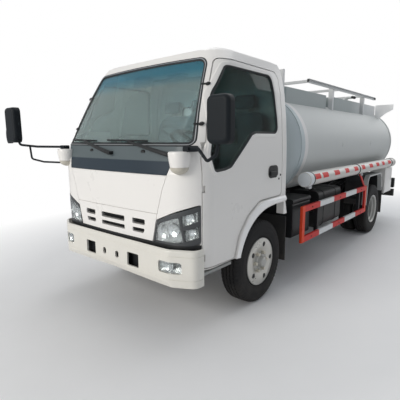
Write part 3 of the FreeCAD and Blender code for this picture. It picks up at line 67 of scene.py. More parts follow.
class Slot(Enum):
    """The record's material slots."""

    CAB = "cab_paint"
    TANK = "tank_paint"
    FRAME = "frame_black"
    AXLE = "axle_iron"
    TYRE = "tyre_rubber"
    WHEEL = "wheel_silver"
    WINDOW = "window"
    GARNISH = "garnish_grey"
    TRIM = "black_trim"
    LAMP = "lamp_unit"
    BUMPER = "bumper_white"
    RAIL = "rail_silver"
    GUARD = "guard_stripes"
    HOSE = "hose_silver"
    CLOTH = "seat_cloth"
    DASH = "dash_plastic"
    FLAP = "flap_rubber"
    RED = "red_lamp"


class Join(Enum):
    """How a piece's grids close: round their rows, round their columns, and with end faces."""

    BAR = (False, True, True)
    TURNED = (True, False, False)
    RING = (True, True, False)
    SKIN = (False, True, False)
    OPEN = (False, False, False)


SIDES = (("left", 1), ("right", -1))
BOTH = (1, -1)
# The cab's outer form, one row a height: z, half width, front, corner radius, sweep radius.
CAB_FORM = np.array([
    (540.0, 884.0, -1002.0, 250.0, 9000.0),
    (900.0, 890.0, -1008.0, 250.0, 9000.0),
    (1262.0, 890.0, -1008.0, 250.0, 9000.0),
    (1462.0, 886.0, -962.0, 215.0, 7500.0),
    (1700.0, 872.0, -843.0, 205.0, 6000.0),
    (1930.0, 846.0, -725.0, 200.0, 5000.0),
    (2126.0, 802.0, -620.0, 195.0, 4200.0),
    (2200.0, 758.0, -566.0, 190.0, 3800.0),
    (2310.0, 560.0, -368.0, 180.0, 3400.0),
])

SCREEN = [(-822, 1466), (822, 1466), (806, 1560), (684, 2136), (-684, 2136), (-806, 1560)]
SCREEN_R = [60, 60, 100, 90, 90, 100]
DOOR_WINDOW = [(-768, 1400), (-725, 1272), (-600, 1280), (-520, 1296), (-215, 1545), (-160, 1560),
               (221, 1560), (177, 2069), (-490, 2069), (-683, 1822)]
DOOR_WINDOW_R = [40, 40, 0, 60, 0, 60, 60, 60, 60, 300]
ARCH_OUTER = [(-457, 546), (-457, 560), (-398, 731), (-271, 871), (-90, 969), (120, 972), (347, 975)]
ARCH_INNER = [(-404, 546), (-404, 560), (-333, 700), (-204, 815), (-40, 891), (157, 912), (347, 912)]
# Middles of the tyres across, the rear axle's place, the rims' mating plane and the nuts' circle.
FRONT_TYRE, REAR_TYRES, REAR_AXLE, REAR_MATE, NUT_CIRCLE = 765.0, (830.0, 595.0), 3360.0, 712.5, 88.0
# Height of the tank's axis; middle and radius of the left hose tube.
TANK_AXIS = 1432
TUBE_X, TUBE_Z, TUBE_R = 930.0, 1090.0, 72.0
# The front wheels' cover: edges, hand holes, their circle, radius and first angle.
COVER_IN, COVER_OUT = 104.0, 217.0
HAND_HOLES, HOLE_AT, HOLE_R, HOLE_START = 5, 165.0, 24.0, math.radians(75.0)
# Middle of the mirror arms' cups, and the back wall's place.
CUP_AT = (757.0, -965.0, 0.0)
BACK_WALL = 376.0
# Wiper pivot and the two ends of its blade, in front view.
WIPERS = (((-6, 1406), (-748, 1516), (-285, 1505)), ((651, 1405), (-119, 1510), (390, 1502)))
FLOOR_HALF = 40000.0
# Bumper face: distances from the middle and how far it has swept back there.
BUMPER_FRONT, BUMPER_X, BUMPER_SWEEP = -1032.0, [0, 695, 885], [0, 6, 105]
REAR_WINDOW = [(-480, 1500), (480, 1500), (450, 1880), (-450, 1880)]


def cab_plan(z: Array) -> tuple[Array, ...]:
    """Centres of the plan's arcs at heights z, linear between the form's rows.

    The front is an arc of the sweep radius about (0, bow); each corner is an arc of the
    corner radius about (cx, cy), tangent to the front and to the flat side.

    Args:
        z: Heights.

    Returns:
        corner, sweep, bow, cx, cy and the angle where front and corner meet.
    """
    width, front, corner, sweep = (np.interp(z, CAB_FORM[:, 0], CAB_FORM[:, k]) for k in range(1, 5))
    bow = front + sweep
    cx = width - corner
    cy = bow - np.sqrt((sweep - corner) ** 2 - cx ** 2)
    return corner, sweep, bow, cx, cy, np.arcsin(cx / (sweep - corner))


def cab_girth(s: Array, z: Array, lift: Array) -> Array:
    """Points on the cab at girth s from the centre line: front arc, corner arc, then side.

    Args:
        s: Signed girth along the plan.
        z: Heights.
        lift: Distance outwards from the surface.

    Returns:
        Points, in the arguments' common shape with x, y, z last.
    """
    s, z, lift = np.broadcast_arrays(np.asarray(s, float), np.asarray(z, float), np.asarray(lift, float))
    corner, sweep, bow, cx, cy, meet = cab_plan(z)
    run = np.abs(s)
    front_run = sweep * meet
    corner_run = corner * (math.pi / 2 - meet)
    on_front = run / sweep
    on_corner = np.clip(meet + (run - front_run) / corner, 0, math.pi / 2)
    at_front = run <= front_run
    angle = np.where(at_front, on_front, on_corner)
    x = np.where(at_front, sweep * np.sin(on_front), cx + corner * np.sin(on_corner))
    y = np.where(at_front, bow - sweep * np.cos(on_front), cy - corner * np.cos(on_corner))
    y = y + np.maximum(run - front_run - corner_run, 0)
    x = x + lift * np.sin(angle)
    y = y - lift * np.cos(angle)
    return np.stack([np.sign(s + 1e-9) * x, y, z], axis=-1)


def cab_front(x: Array, z: Array, lift: Array) -> Array:
    """Points on the cab above the front view's x and z, lifted outwards.

    Args:
        x: Front-view positions.
        z: Heights.
        lift: Distance outwards from the surface.

    Returns:
        Points with x, y, z last.
    """
    corner, sweep, _, cx, _, meet = cab_plan(z)
    run = np.abs(x)
    at_front = run <= sweep * np.sin(meet)
    front_s = sweep * np.arcsin(np.clip(run / sweep, 0, 1))
    corner_s = sweep * meet + corner * (np.arcsin(np.clip((run - cx) / corner, -1, 1)) - meet)
    return cab_girth(np.sign(x + 1e-9) * np.where(at_front, front_s, corner_s), z, lift)


def cab_side(side: int) -> Project:
    """Projection of side-view points onto one side of the cab.

    Args:
        side: 1 for the left, -1 for the right.

    Returns:
        A function of y, z and lift that gives points with x, y, z last.
    """

    def project(y: Array, z: Array, lift: Array) -> Array:
        """x = cx + sqrt(corner^2 - (y - cy)^2) in the corner, and the full width behind it."""
        y, z, lift = np.broadcast_arrays(y, z, lift)
        corner, _, _, cx, cy, _ = cab_plan(z)
        dy = np.clip(np.minimum(y - cy, 0), -corner * 0.98, 0)
        angle = np.arcsin(-dy / corner)
        x = cx + corner * np.cos(angle) + lift * np.cos(angle)
        return np.stack([side * x, y - lift * np.sin(angle), z], axis=-1)

    return project


def bumper_face(x: Array, z: Array, lift: Array) -> Array:
    """Points on the bumper's swept face, lifted to the rear."""
    x, z, lift = np.broadcast_arrays(x, z, lift)
    return np.stack([x, BUMPER_FRONT + np.interp(np.abs(x), BUMPER_X, BUMPER_SWEEP) + lift, z], axis=-1)


def flat(axis: str, at: float = 0.0) -> Project:
    """Projection of flat points onto a plane across an axis.

    Args:
        axis: "x", "y" or "z".
        at: The plane's place along it.

    Returns:
        A function of the two other coordinates and lift that gives points with x, y, z last.
    """

    def project(a: Array, b: Array, lift: Array) -> Array:
        """The two coordinates in their order, with the axis's own where it belongs."""
        a, b, lift = np.broadcast_arrays(a, b, lift)
        rows = [a, b]
        rows.insert("xyz".index(axis), at + lift)
        return np.stack(rows, axis=-1)

    return project


def rounded(points: Sequence[tuple[float, float]], radius: float | Sequence[float],
            step: float = 18.0) -> Array:
    """Closed outline with true arcs at its corners, at even steps.

    Each corner is a rational quadratic from tangent point to tangent point, whose middle
    weight is the sine of half the corner's angle, which is an exact arc.

    Args:
        points: The outline's corners.
        radius: One radius, or one a corner.
        step: Distance between the points of the result.

    Returns:
        An (n, 2) array.
    """
    corner = np.array(points, float)
    size = np.broadcast_to(np.asarray(radius, float), (len(corner),))
    back = np.roll(corner, 1, 0) - corner
    ahead = np.roll(corner, -1, 0) - corner
    back_len = np.linalg.norm(back, axis=1)
    ahead_len = np.linalg.norm(ahead, axis=1)
    back /= back_len[:, None]
    ahead /= ahead_len[:, None]
    half = np.arccos(np.clip((back * ahead).sum(1), -1, 1)) / 2
    cut = np.minimum(size / np.tan(half), 0.49 * np.minimum(back_len, ahead_len))
    t = np.linspace(0, 1, 9)[None, :, None]
    first = (corner + back * cut[:, None])[:, None]
    last = (corner + ahead * cut[:, None])[:, None]
    weight = np.sin(half)[:, None, None]
    top = (1 - t) ** 2 * first + 2 * weight * t * (1 - t) * corner[:, None] + t ** 2 * last
    path = (top / ((1 - t) ** 2 + 2 * weight * t * (1 - t) + t ** 2)).reshape(-1, 2)
    return resample(path, step, True)


def resample(path: Array, step: float, closed: bool = False) -> Array:
    """Path at even steps along its length.

    Args:
        path: (n, d) points.
        step: Distance between new points.
        closed: Whether the last point joins the first.

    Returns:
        An (m, d) array.
    """
    run = np.vstack([path, path[:1]]) if closed else path
    gap = np.linalg.norm(np.diff(run, axis=0), axis=1)
    keep = np.concatenate([[True], gap > 1e-6])
    run = run[keep]
    length = np.concatenate([[0], np.cumsum(np.linalg.norm(np.diff(run, axis=0), axis=1))])
    count = max(4, int(round(length[-1] / step)))
    at = np.linspace(0, length[-1], count + 1)
    made = np.stack([np.interp(at, length, run[:, k]) for k in range(run.shape[1])], axis=-1)
    return made[:-1] if closed else made


def bent(points: Sequence[tuple[float, float, float]], step: float = 12.0) -> Array:
    """Smooth run through a pipe's corners: a uniform cubic B-spline with doubled ends.

    Args:
        points: The run's corners.
        step: Distance between points.

    Returns:
        An (m, 3) array.
    """
    p = np.array(points, float)
    p = np.vstack([2 * p[:1] - p[1:2], p[:1], p[:1] * 2 / 3 + p[1:2] / 3, p[1:-1],
                   p[-1:] * 2 / 3 + p[-2:-1] / 3, p[-1:], 2 * p[-1:] - p[-2:-1]])
    t = np.linspace(0, 1, 12, endpoint=False)[None, :, None]
    a, b, c, d = (p[k:len(p) - 3 + k][:, None] for k in range(4))
    made = ((1 - t) ** 3 * a + (3 * t ** 3 - 6 * t ** 2 + 4) * b
            + (-3 * t ** 3 + 3 * t ** 2 + 3 * t + 1) * c + t ** 3 * d) / 6
    return resample(made.reshape(-1, 3), step)


def mesh_piece(name: str, points: Array, faces: Array,
               ngons: Sequence[Sequence[int]] = ()) -> Piece:
    """Object from points in millimetres, quads and a few larger faces.

    Args:
        name: The piece's name.
        points: (n, 3) array.
        faces: (m, 4) array of quads.
        ngons: Other faces.

    Returns:
        The object, at the origin, with outward faces.
    """
    mesh = bpy.data.meshes.new(name)
    mesh.from_pydata((points * MM).tolist(), [], np.asarray(faces).tolist() + [list(f) for f in ngons])
    work = bmesh.new()
    work.from_mesh(mesh)
    bmesh.ops.remove_doubles(work, verts=work.verts, dist=0.00001)
    bmesh.ops.dissolve_degenerate(work, edges=work.edges, dist=0.000005)
    bmesh.ops.recalc_face_normals(work, faces=work.faces)
    work.to_mesh(mesh)
    work.free()
    mesh.shade_smooth()
    mesh.set_sharp_from_angle(angle=SHARP_ANGLE)
    made = bpy.data.objects.new(name, mesh)
    bpy.context.scene.collection.objects.link(made)
    return made


def grid_faces(rows: int, columns: int, close_rows: bool, close_columns: bool, start: int = 0) -> Array:
    """Quads of a grid of points.

    Args:
        rows: Number of rows.
        columns: Number of columns.
        close_rows: Whether the last row joins the first.
        close_columns: Whether the last column joins the first.
        start: Index of the grid's first point.

    Returns:
        An (m, 4) array.
    """
    i = np.arange(rows if close_rows else rows - 1)[:, None]
    j = np.arange(columns if close_columns else columns - 1)[None, :]
    i2 = (i + 1) % rows
    j2 = (j + 1) % columns
    quads = np.stack([i * columns + j, i2 * columns + j, i2 * columns + j2, i * columns + j2], axis=-1)
    return quads.reshape(-1, 4) + start


def many(name: str, grids: Sequence[Array], join: Join) -> Piece:
    """One piece from grids of points.

    Args:
        name: The piece's name.
        grids: (rows, columns, 3) arrays.
        join: How each grid closes.

    Returns:
        The object.
    """
    close_rows, close_columns, cap = join.value
    points, faces, ends, start = [], [], [], 0
    for grid in grids:
        rows, columns = grid.shape[:2]
        points.append(grid.reshape(-1, 3))
        faces.append(grid_faces(rows, columns, close_rows, close_columns, start))
        if cap:
            ends += [range(first, first + columns) for first in (start, start + (rows - 1) * columns)]
        start += rows * columns
    return mesh_piece(name, np.vstack(points), np.vstack(faces), ends)


def swept(path: Array, profile: Array, closed: bool = False, up: Sequence[float] = (0, 0, 1)) -> Array:
    """Profile carried along a path: point = path + side * a + normal * b.

    Args:
        path: (n, 3) points.
        profile: (m, 2) points, across and up.
        closed: Whether the path is a loop.
        up: Direction that the profile's second axis leans to.

    Returns:
        An (n, m, 3) grid.
    """
    if closed:
        tangent = np.roll(path, -1, 0) - np.roll(path, 1, 0)
    else:
        tangent = np.gradient(path, axis=0)
    tangent /= np.linalg.norm(tangent, axis=1)[:, None]
    side = np.cross(tangent, np.asarray(up, float))
    side /= np.maximum(np.linalg.norm(side, axis=1), 1e-9)[:, None]
    normal = np.cross(side, tangent)
    return path[:, None] + side[:, None] * profile[None, :, :1] + normal[:, None] * profile[None, :, 1:]


def circle(radius: float, count: int = 14) -> Array:
    """Round profile."""
    a = np.linspace(0, 2 * math.pi, count, endpoint=False)
    return np.stack([radius * np.cos(a), radius * np.sin(a)], axis=-1)


def pipe(points: Sequence[tuple[float, float, float]] | Array, radius: float, count: int = 12,
         up: Sequence[float] = (0, 0, 1)) -> Array:
    """Round pipe along a smooth run, as a grid."""
    path = bent(points) if len(points) > 2 else np.linspace(points[0], points[1], 2)
    return swept(path, circle(radius, count), up=up)


def turned(profile: Sequence[tuple[float, float]], centre: Sequence[float], axis: str = "x",
           count: int = 48) -> Array:
    """Profile of (along, radius) turned once about an axis through centre, as a grid.

    Args:
        profile: Points along the axis and out from it.
        centre: Where the profile's zero lies.
        axis: "x", "y" or "z".
        count: Steps round.

    Returns:
        A (count, n, 3) grid.
    """
    p = np.array(profile, float)
    a = np.linspace(0, 2 * math.pi, count, endpoint=False)[:, None]
    return flat(axis)(p[:, 1] * np.cos(a), p[:, 1] * np.sin(a), p[:, 0]) + np.asarray(centre, float)


def inwards(outline: Array) -> Array:
    """Unit vectors into a closed flat outline, one a point."""
    tangent = np.roll(outline, -1, 0) - np.roll(outline, 1, 0)
    tangent /= np.maximum(np.linalg.norm(tangent, axis=1), 1e-9)[:, None]
    nxt = np.roll(outline, -1, 0)
    area = (outline[:, 0] * nxt[:, 1] - nxt[:, 0] * outline[:, 1]).sum()
    turn = np.array([[0.0, 1.0], [-1.0, 0.0]]) if area > 0 else np.array([[0.0, -1.0], [1.0, 0.0]])
    return tangent @ turn


def sheet(outline: Array, inset: Sequence[float], level: Sequence[float], project: Project) -> Array:
    """Outline drawn in and lifted step by step on a surface, one row a step.

    Args:
        outline: (n, 2) closed outline.
        inset: Distance inwards of each row.
        level: Lift of each row.
        project: Puts flat points on the surface.

    Returns:
        A (rows, n, 3) grid, to be made as a bar.
    """
    drawn = outline[None] + inwards(outline)[None] * np.array(inset, float)[:, None, None]
    lift = np.broadcast_to(np.array(level, float)[:, None], drawn.shape[:2])
    return project(drawn[..., 0], drawn[..., 1], lift)


def slab(outline: Array, low: float, high: float, bevel: float, axis: str = "x") -> Array:
    """Plate with rounded edges, between two places along an axis.

    Args:
        outline: (n, 2) closed outline.
        low: One face.
        high: The other face.
        bevel: Edge radius.
        axis: The axis through its thickness.

    Returns:
        A grid, to be made as a bar.
    """
    turn = np.linspace(0, math.pi / 2, 4)
    rise, inset = math.copysign(bevel, high - low) * (1 - np.cos(turn)), bevel * (1 - np.sin(turn))
    level = np.concatenate([low + rise, high - rise[::-1]])
    return sheet(outline, np.concatenate([inset, inset[::-1]]), level, flat(axis))


def cushioned(outline: Array, bevel: float, project: Project, low: float, high: float) -> Array:
    """Plate that follows a surface, lifted from low to high and drawn in at its edge.

    Args:
        outline: Closed flat outline.
        bevel: Edge radius.
        project: Puts flat points on the surface.
        low: First lift.
        high: Last lift.

    Returns:
        A grid, to be made as a bar.
    """
    inset = (0.0, 0.0, 0.3 * bevel, bevel, 3 * bevel)
    return sheet(outline, inset, (low, 0.4 * low + 0.6 * high, 0.15 * low + 0.85 * high, high, high), project)


def hoop(outline: Array, profile: Sequence[tuple[float, float]], project: Project) -> Array:
    """Gasket: a closed profile of (distance inwards, lift) carried round an outline on a surface.

    Args:
        outline: (n, 2) closed outline.
        profile: Closed profile.
        project: Puts flat points on the surface.

    Returns:
        An (n, m, 3) grid, to be made as a ring.
    """
    p = np.array(profile, float)
    drawn = outline[:, None] + inwards(outline)[:, None] * p[None, :, :1]
    return project(drawn[..., 0], drawn[..., 1], np.broadcast_to(p[None, :, 1], drawn.shape[:2]))


def box_ring(x0: float, x1: float, y0: float, y1: float, radius: float, step: float = 12.0) -> Array:
    """Rounded rectangle as an outline."""
    return rounded([(x0, y0), (x1, y0), (x1, y1), (x0, y1)], radius, step)


def thick(outer: Array, inner: Array) -> Array:
    """Closed shell between two grids: the outer one, and the inner one turned back."""
    return np.concatenate([outer, inner[:, ::-1]], axis=1)


def on_sides(grids: Sequence[Array], signs: Sequence[int]) -> list[Array]:
    """Grids on the left (1), and their images on the right (-1)."""
    return [grid * np.array([sign, 1.0, 1.0]) for sign in signs for grid in grids]


class Graph:
    """A node tree with short calls for its nodes."""

    def __init__(self, tree: bpy.types.NodeTree) -> None:
        """Starts from an empty tree."""
        self.tree = tree
        self.tree.nodes.clear()

    def add(self, kind: str, sockets: dict | None = None, **settings: object) -> bpy.types.Node:
        """Adds a node.

        Args:
            kind: The node's type.
            sockets: Values or links for its inputs.
            settings: Its properties.

        Returns:
            The node.
        """
        node = self.tree.nodes.new("ShaderNode" + kind if not kind.startswith("Node") else kind)
        for key, value in settings.items():
            setattr(node, key, value)
        for key, value in (sockets or {}).items():
            if isinstance(value, Socket):
                self.tree.links.new(value, node.inputs[key])
            else:
                node.inputs[key].default_value = value
        return node

    def math(self, operation: str, *values: object, clamp: bool = False) -> Socket:
        """Adds a Math node on its values."""
        return self.add("Math", dict(enumerate(values)), operation=operation, use_clamp=clamp).outputs[0]

    def mix(self, factor: object, first: object, second: object) -> Socket:
        """Mixes two colours."""
        values = {0: factor, 6: paint(first), 7: paint(second)}
        return self.add("Mix", values, data_type="RGBA").outputs[2]

    def noise(self, place: Socket, scale: object, detail: float, rough: float = 0.5) -> Socket:
        """Adds a noise."""
        values = {"Vector": place, "Scale": scale, "Detail": detail, "Roughness": rough}
        return self.add("TexNoise", values).outputs[0]

    def along(self, place: Socket, axis: str) -> Socket:
        """One of a vector's parts."""
        return self.add("SeparateXYZ", {0: place}).outputs[axis]

    def ramp(self, value: object, stops: Sequence[tuple[float, Colour]], steps: bool = False) -> Socket:
        """Adds a colour ramp."""
        node = self.add("ValToRGB", {0: value})
        band = node.color_ramp
        band.interpolation = "CONSTANT" if steps else "LINEAR"
        while len(band.elements) < len(stops):
            band.elements.new(0.5)
        for element, (at, colour) in zip(band.elements, stops):
            element.position = at
            element.color = paint(colour)
        return node.outputs[0]

    def place(self) -> Socket:
        """Object coordinates."""
        return self.add("TexCoord").outputs["Object"]


def paint(value: object) -> object:
    """A colour with its alpha, or a socket as it is."""
    return (*value, 1.0) if isinstance(value, tuple) and len(value) == 3 else value


def node_group(name: str, inputs: str, outputs: str) -> tuple[bpy.types.NodeTree, Graph, dict]:
    """Empty shader group with named sockets: Vector is a vector, Colour a colour, the others are values.

    Args:
        name: The group's name.
        inputs: Names of the inputs, with spaces between.
        outputs: Names of the outputs.

    Returns:
        The tree, its graph, and its inputs by name.
    """
    tree = bpy.data.node_groups.new(name, "ShaderNodeTree")
    for way, labels in (("INPUT", inputs), ("OUTPUT", outputs)):
        for label in labels.split():
            kind = {"Vector": "Vector", "Colour": "Color"}.get(label, "Float")
            tree.interface.new_socket(label, in_out=way, socket_type="NodeSocket" + kind)
    graph = Graph(tree)
    given = graph.add("NodeGroupInput")
    return tree, graph, {socket.name: socket for socket in given.outputs if socket.name}


def drift_group() -> bpy.types.NodeTree:
    """Slow colour drift and uneven gloss: two noises, one broad and one fine."""
    tree, graph, given = node_group("drift", "Vector Colour Amount Scale Gloss Spread", "Colour Roughness")
    broad = graph.noise(given["Vector"], given["Scale"], 4.0)
    fine = graph.noise(given["Vector"], graph.math("MULTIPLY", given["Scale"], 9.0), 3.0)
    both = graph.math("ADD", graph.math("MULTIPLY", broad, 0.7), graph.math("MULTIPLY", fine, 0.3))
    offset = graph.math("SUBTRACT", both, 0.5)
    swing = graph.math("MULTIPLY", offset, graph.math("MULTIPLY", given["Amount"], 4.0))
    colour = graph.add("HueSaturation", {"Color": given["Colour"], "Value": graph.math("ADD", swing, 1.0)})
    gloss = graph.math("ADD", given["Gloss"], graph.math("MULTIPLY", offset, given["Spread"]))
    graph.add("NodeGroupOutput", {"Colour": colour.outputs[0], "Roughness": gloss})
    return tree


def dust_group() -> bpy.types.NodeTree:
    """Road dust: strongest at the ground, gone at Top, broken by noise. On the tank it also paints the
    ground's reflection on the lower shell.
    """
    tree, graph, given = node_group("road_dust_and_ground_reflection", "Vector Colour Amount Top", "Colour Mask")
    height = graph.math("DIVIDE", graph.along(given["Vector"], "Z"), given["Top"])
    low = graph.math("SUBTRACT", 1.0, height, clamp=True)
    noise = graph.math("SUBTRACT", graph.noise(given["Vector"], 7.0, 6.0, 0.65), 0.3, clamp=True)
    broken = graph.math("MULTIPLY", noise, 2.0, clamp=True)
    mask = graph.math("MULTIPLY", graph.math("MULTIPLY", low, broken), given["Amount"], clamp=True)
    graph.add("NodeGroupOutput", {"Colour": graph.mix(mask, given["Colour"], DUST), "Mask": mask})
    return tree


def grain_group() -> bpy.types.NodeTree:
    """Fine surface grain: small noise over larger waves, as a height."""
    tree, graph, given = node_group("grain", "Vector Scale Waves", "Height")
    waves = graph.math("MULTIPLY", graph.noise(given["Vector"], 14.0, 1.0), given["Waves"])
    height = graph.math("ADD", graph.noise(given["Vector"], given["Scale"], 3.0), waves)
    graph.add("NodeGroupOutput", {"Height": height})
    return tree


def weave_group() -> bpy.types.NodeTree:
    """Woven cloth: the higher of two crossed waves."""
    tree, graph, given = node_group("weave", "Vector Scale", "Height")
    values = {"Vector": given["Vector"], "Scale": given["Scale"], "Distortion": 0.6, "Detail": 1.0}
    bands = [graph.add("TexWave", values, bands_direction=way).outputs["Fac"] for way in "XZ"]
    graph.add("NodeGroupOutput", {"Height": graph.math("MAXIMUM", *bands)})
    return tree


def new_material(name: str) -> tuple[bpy.types.Material, Graph]:
    """Empty material and its graph."""
    material = bpy.data.materials.new(name)
    material.use_nodes = True
    return material, Graph(material.node_tree)


@dataclass(frozen=True)
class Finish:
    """A painted, moulded or cast surface, with drift, grain and road dust.

    Attributes:
        name: The material's name.
        colour: Base colour.
        roughness: Mean roughness.
        metallic: 1 for bare metal.
        coat: Clear coat weight.
        drift: Colour drift.
        drift_scale: Waves of drift a metre.
        spread: Swing of the roughness.
        grain: Bump strength.
        grain_scale: Grain a metre.
        waves: Share of long waves in the bump.
        dust: Road dust at the ground; on the tank partly a painted reflection of the ground.
        dust_top: Height in metres where dust ends.
        shine: Specular level.
        shaded_inner_x: Distance from the centre plane within which painted shade shows, or 0.
        inner: Near-black painted shade on the parts behind, where they lie in shadow.
    """

    name: str
    colour: Colour
    roughness: float
    metallic: float = 0.0
    coat: float = 0.0
    drift: float = 0.03
    drift_scale: float = 2.5
    spread: float = 0.08
    grain: float = 0.05
    grain_scale: float = 350.0
    waves: float = 0.3
    dust: float = 0.0
    dust_top: float = 0.8
    shine: float = 0.5
    shaded_inner_x: float = 0.0
    # Near-black painted shade for parts that lie in shadow behind the outer faces.
    inner: Colour = (0.016, 0.017, 0.019)

    def pattern(self, graph: Graph, place: Socket) -> object:
        """The colour before drift and dust; here it is plain."""
        return self.colour

    def shaded_inside(self, graph: Graph, place: Socket, colour: object) -> object:
        """The colour, with painted shade on the parts nearer the centre plane than the given distance."""
        if not self.shaded_inner_x:
            return colour
        near = graph.math("LESS_THAN", graph.math("ABSOLUTE", graph.along(place, "X")), self.shaded_inner_x)
        return graph.mix(near, colour, self.inner)

    def relief(self, graph: Graph, place: Socket, groups: dict) -> Socket:
        """The bump's height."""
        values = {"Vector": place, "Scale": self.grain_scale, "Waves": self.waves}
        return graph.add("Group", values, node_tree=groups["grain"]).outputs["Height"]

    def build(self, groups: dict) -> bpy.types.Material:
        """Makes the material.

        Args:
            groups: The shared node groups.

        Returns:
            The material.
        """
        material, graph = new_material(self.name)
        place = graph.place()
        colour = paint(self.shaded_inside(graph, place, self.pattern(graph, place)))
        values = {"Vector": place, "Colour": colour, "Amount": self.drift, "Scale": self.drift_scale,
                  "Gloss": self.roughness, "Spread": self.spread}
        drift = graph.add("Group", values, node_tree=groups["drift"])
        colour, roughness = drift.outputs["Colour"], drift.outputs["Roughness"]
        if self.dust:
            values = {"Vector": place, "Colour": colour, "Amount": self.dust, "Top": self.dust_top}
            dust = graph.add("Group", values, node_tree=groups["dust"])
            colour = dust.outputs["Colour"]
            roughness = graph.math("MAXIMUM", roughness, graph.math("MULTIPLY", dust.outputs["Mask"], 0.9))
        height = self.relief(graph, place, groups)
        bump = graph.add("Bump", {"Strength": self.grain, "Distance": 0.002, "Height": height})
        shader = graph.add("BsdfPrincipled", {
            "Base Color": colour, "Roughness": roughness, "Metallic": self.metallic, "Coat Weight": self.coat,
            "Specular IOR Level": self.shine, "Coat Roughness": 0.06, "Normal": bump.outputs[0]})
        graph.add("OutputMaterial", {"Surface": shader.outputs[0]})
        return material


@dataclass(frozen=True)
class Banded(Finish):
    """Paint in bands along one axis.

    Attributes:
        axis: "X", "Y" or "Z".
        start: Where the ramp begins, in metres.
        length: The ramp's length, in metres.
        stops: Position in metres and colour of each band.
        steps: Whether the colour changes at once.
    """

    axis: str = "Y"
    start: float = 0.0
    length: float = 5.0
    stops: tuple = ()
    steps: bool = True

    def pattern(self, graph: Graph, place: Socket) -> object:
        """Colour by distance along the axis."""
        away = graph.math("SUBTRACT", graph.along(place, self.axis), self.start)
        stops = [((at - self.start) / self.length, colour) for at, colour in self.stops]
        return graph.ramp(graph.math("DIVIDE", away, self.length), stops, self.steps)


@dataclass(frozen=True)
class Cloth(Finish):
    """Woven seat cloth with a darker thread."""

    thread: Colour = (0.1, 0.1, 0.1)
    weave: float = 160.0

    def pattern(self, graph: Graph, place: Socket) -> object:
        """Threads of two colours, in the weave's cells."""
        colours = {"Color1": paint(self.colour), "Color2": paint(self.thread)}
        checks = graph.add("TexChecker", {"Vector": place, "Scale": self.weave, **colours})
        return graph.mix(0.35, self.colour, checks.outputs[0])

    def relief(self, graph: Graph, place: Socket, groups: dict) -> Socket:
        """The weave's height."""
        values = {"Vector": place, "Scale": self.weave}
        return graph.add("Group", values, node_tree=groups["weave"]).outputs["Height"]


@dataclass(frozen=True)
class Pane:
    """Glass or clear plastic that lets shadow rays through.

    Attributes:
        name: The material's name.
        colour: Tint.
        roughness: Roughness.
        band: Tint of the sun band at the top, or nothing.
        ribs: Strength of moulded ribs.
        clear: Share of light let straight through.
        painted_sheen: Share of the surface that is pale and diffuse, a painted reflection that lightens the
            glass.
        bend: Index of refraction.
    """

    name: str
    colour: Colour
    roughness: float = 0.02
    band: Colour | None = None
    ribs: float = 0.0
    clear: float = 0.35
    painted_sheen: float = 0.0
    bend: float = 1.45

    def build(self, groups: dict) -> bpy.types.Material:
        """Makes the material: glass mixed with a clear part, and clear to shadow rays."""
        material, graph = new_material(self.name)
        place = graph.place()
        darker = tuple(0.94 * c for c in self.colour)
        colour = graph.mix(graph.noise(place, 2.0, 2.0), self.colour, darker)
        if self.band:
            above = graph.math("SUBTRACT", graph.along(place, "Z"), SUN_BAND_FOOT)
            colour = graph.mix(graph.math("DIVIDE", above, SUN_BAND_FADE, clamp=True), colour, self.band)
        wave = graph.add("TexWave", {"Vector": place, "Scale": 28.0}, bands_direction="X").outputs["Fac"]
        bump = graph.add("Bump", {"Strength": self.ribs, "Distance": 0.002, "Height": wave})
        glass = graph.add("BsdfPrincipled", {
            "Base Color": colour, "Roughness": self.roughness, "IOR": self.bend,
            "Transmission Weight": 1.0 - self.painted_sheen, "Normal": bump.outputs[0]}).outputs[0]
        through = graph.add("BsdfTransparent", {"Color": colour}).outputs[0]
        mixed = graph.add("MixShader", {0: self.clear, 1: glass, 2: through}).outputs[0]
        shadow = graph.add("LightPath").outputs["Is Shadow Ray"]
        final = graph.add("MixShader", {0: shadow, 1: mixed, 2: through})
        graph.add("OutputMaterial", {"Surface": final.outputs[0]})
        return material


# Where the windscreen's sun band begins, and the height over which it comes in, in metres.
SUN_BAND_FOOT, SUN_BAND_FADE = 1.93, 0.12
DUST = (0.33, 0.29, 0.24)
WHITE = (0.83, 0.812, 0.784)
TAPE_RED = (0.62, 0.035, 0.03)
TAPE_WHITE = (0.74, 0.75, 0.75)
GUARD_RED = (0.78, 0.07, 0.025)
# Tank bands: the head's darker blue-grey is painted shade, and the pale ring between head and shell is a
# painted highlight.
TANK_HEAD_SHADE = (0.50, 0.56, 0.58)
TANK_RING_HIGHLIGHT = (0.74, 0.73, 0.72)
TANK_SHELL = (0.57, 0.59, 0.58)
GUARD_STOPS = ((0.60, GUARD_RED), (0.722, TAPE_RED), (1.114, TAPE_WHITE), (1.534, TAPE_RED),
               (1.951, TAPE_WHITE), (2.384, TAPE_RED), (2.786, GUARD_RED))

# Coamings: the dark grey at the front is painted shade, brightening to a near-white painted highlight on the
# rear plate.
COAMING_PAINTED_LIGHT = ((3.0, (0.34, 0.38, 0.38)), (4.25, (0.78, 0.79, 0.79)), (4.37, (0.90, 0.90, 0.88)))
GARNISH_STOPS = ((1.2, (0.018, 0.031, 0.045)), (1.350, (0.018, 0.031, 0.045)), (1.358, (0.094, 0.118, 0.126)))

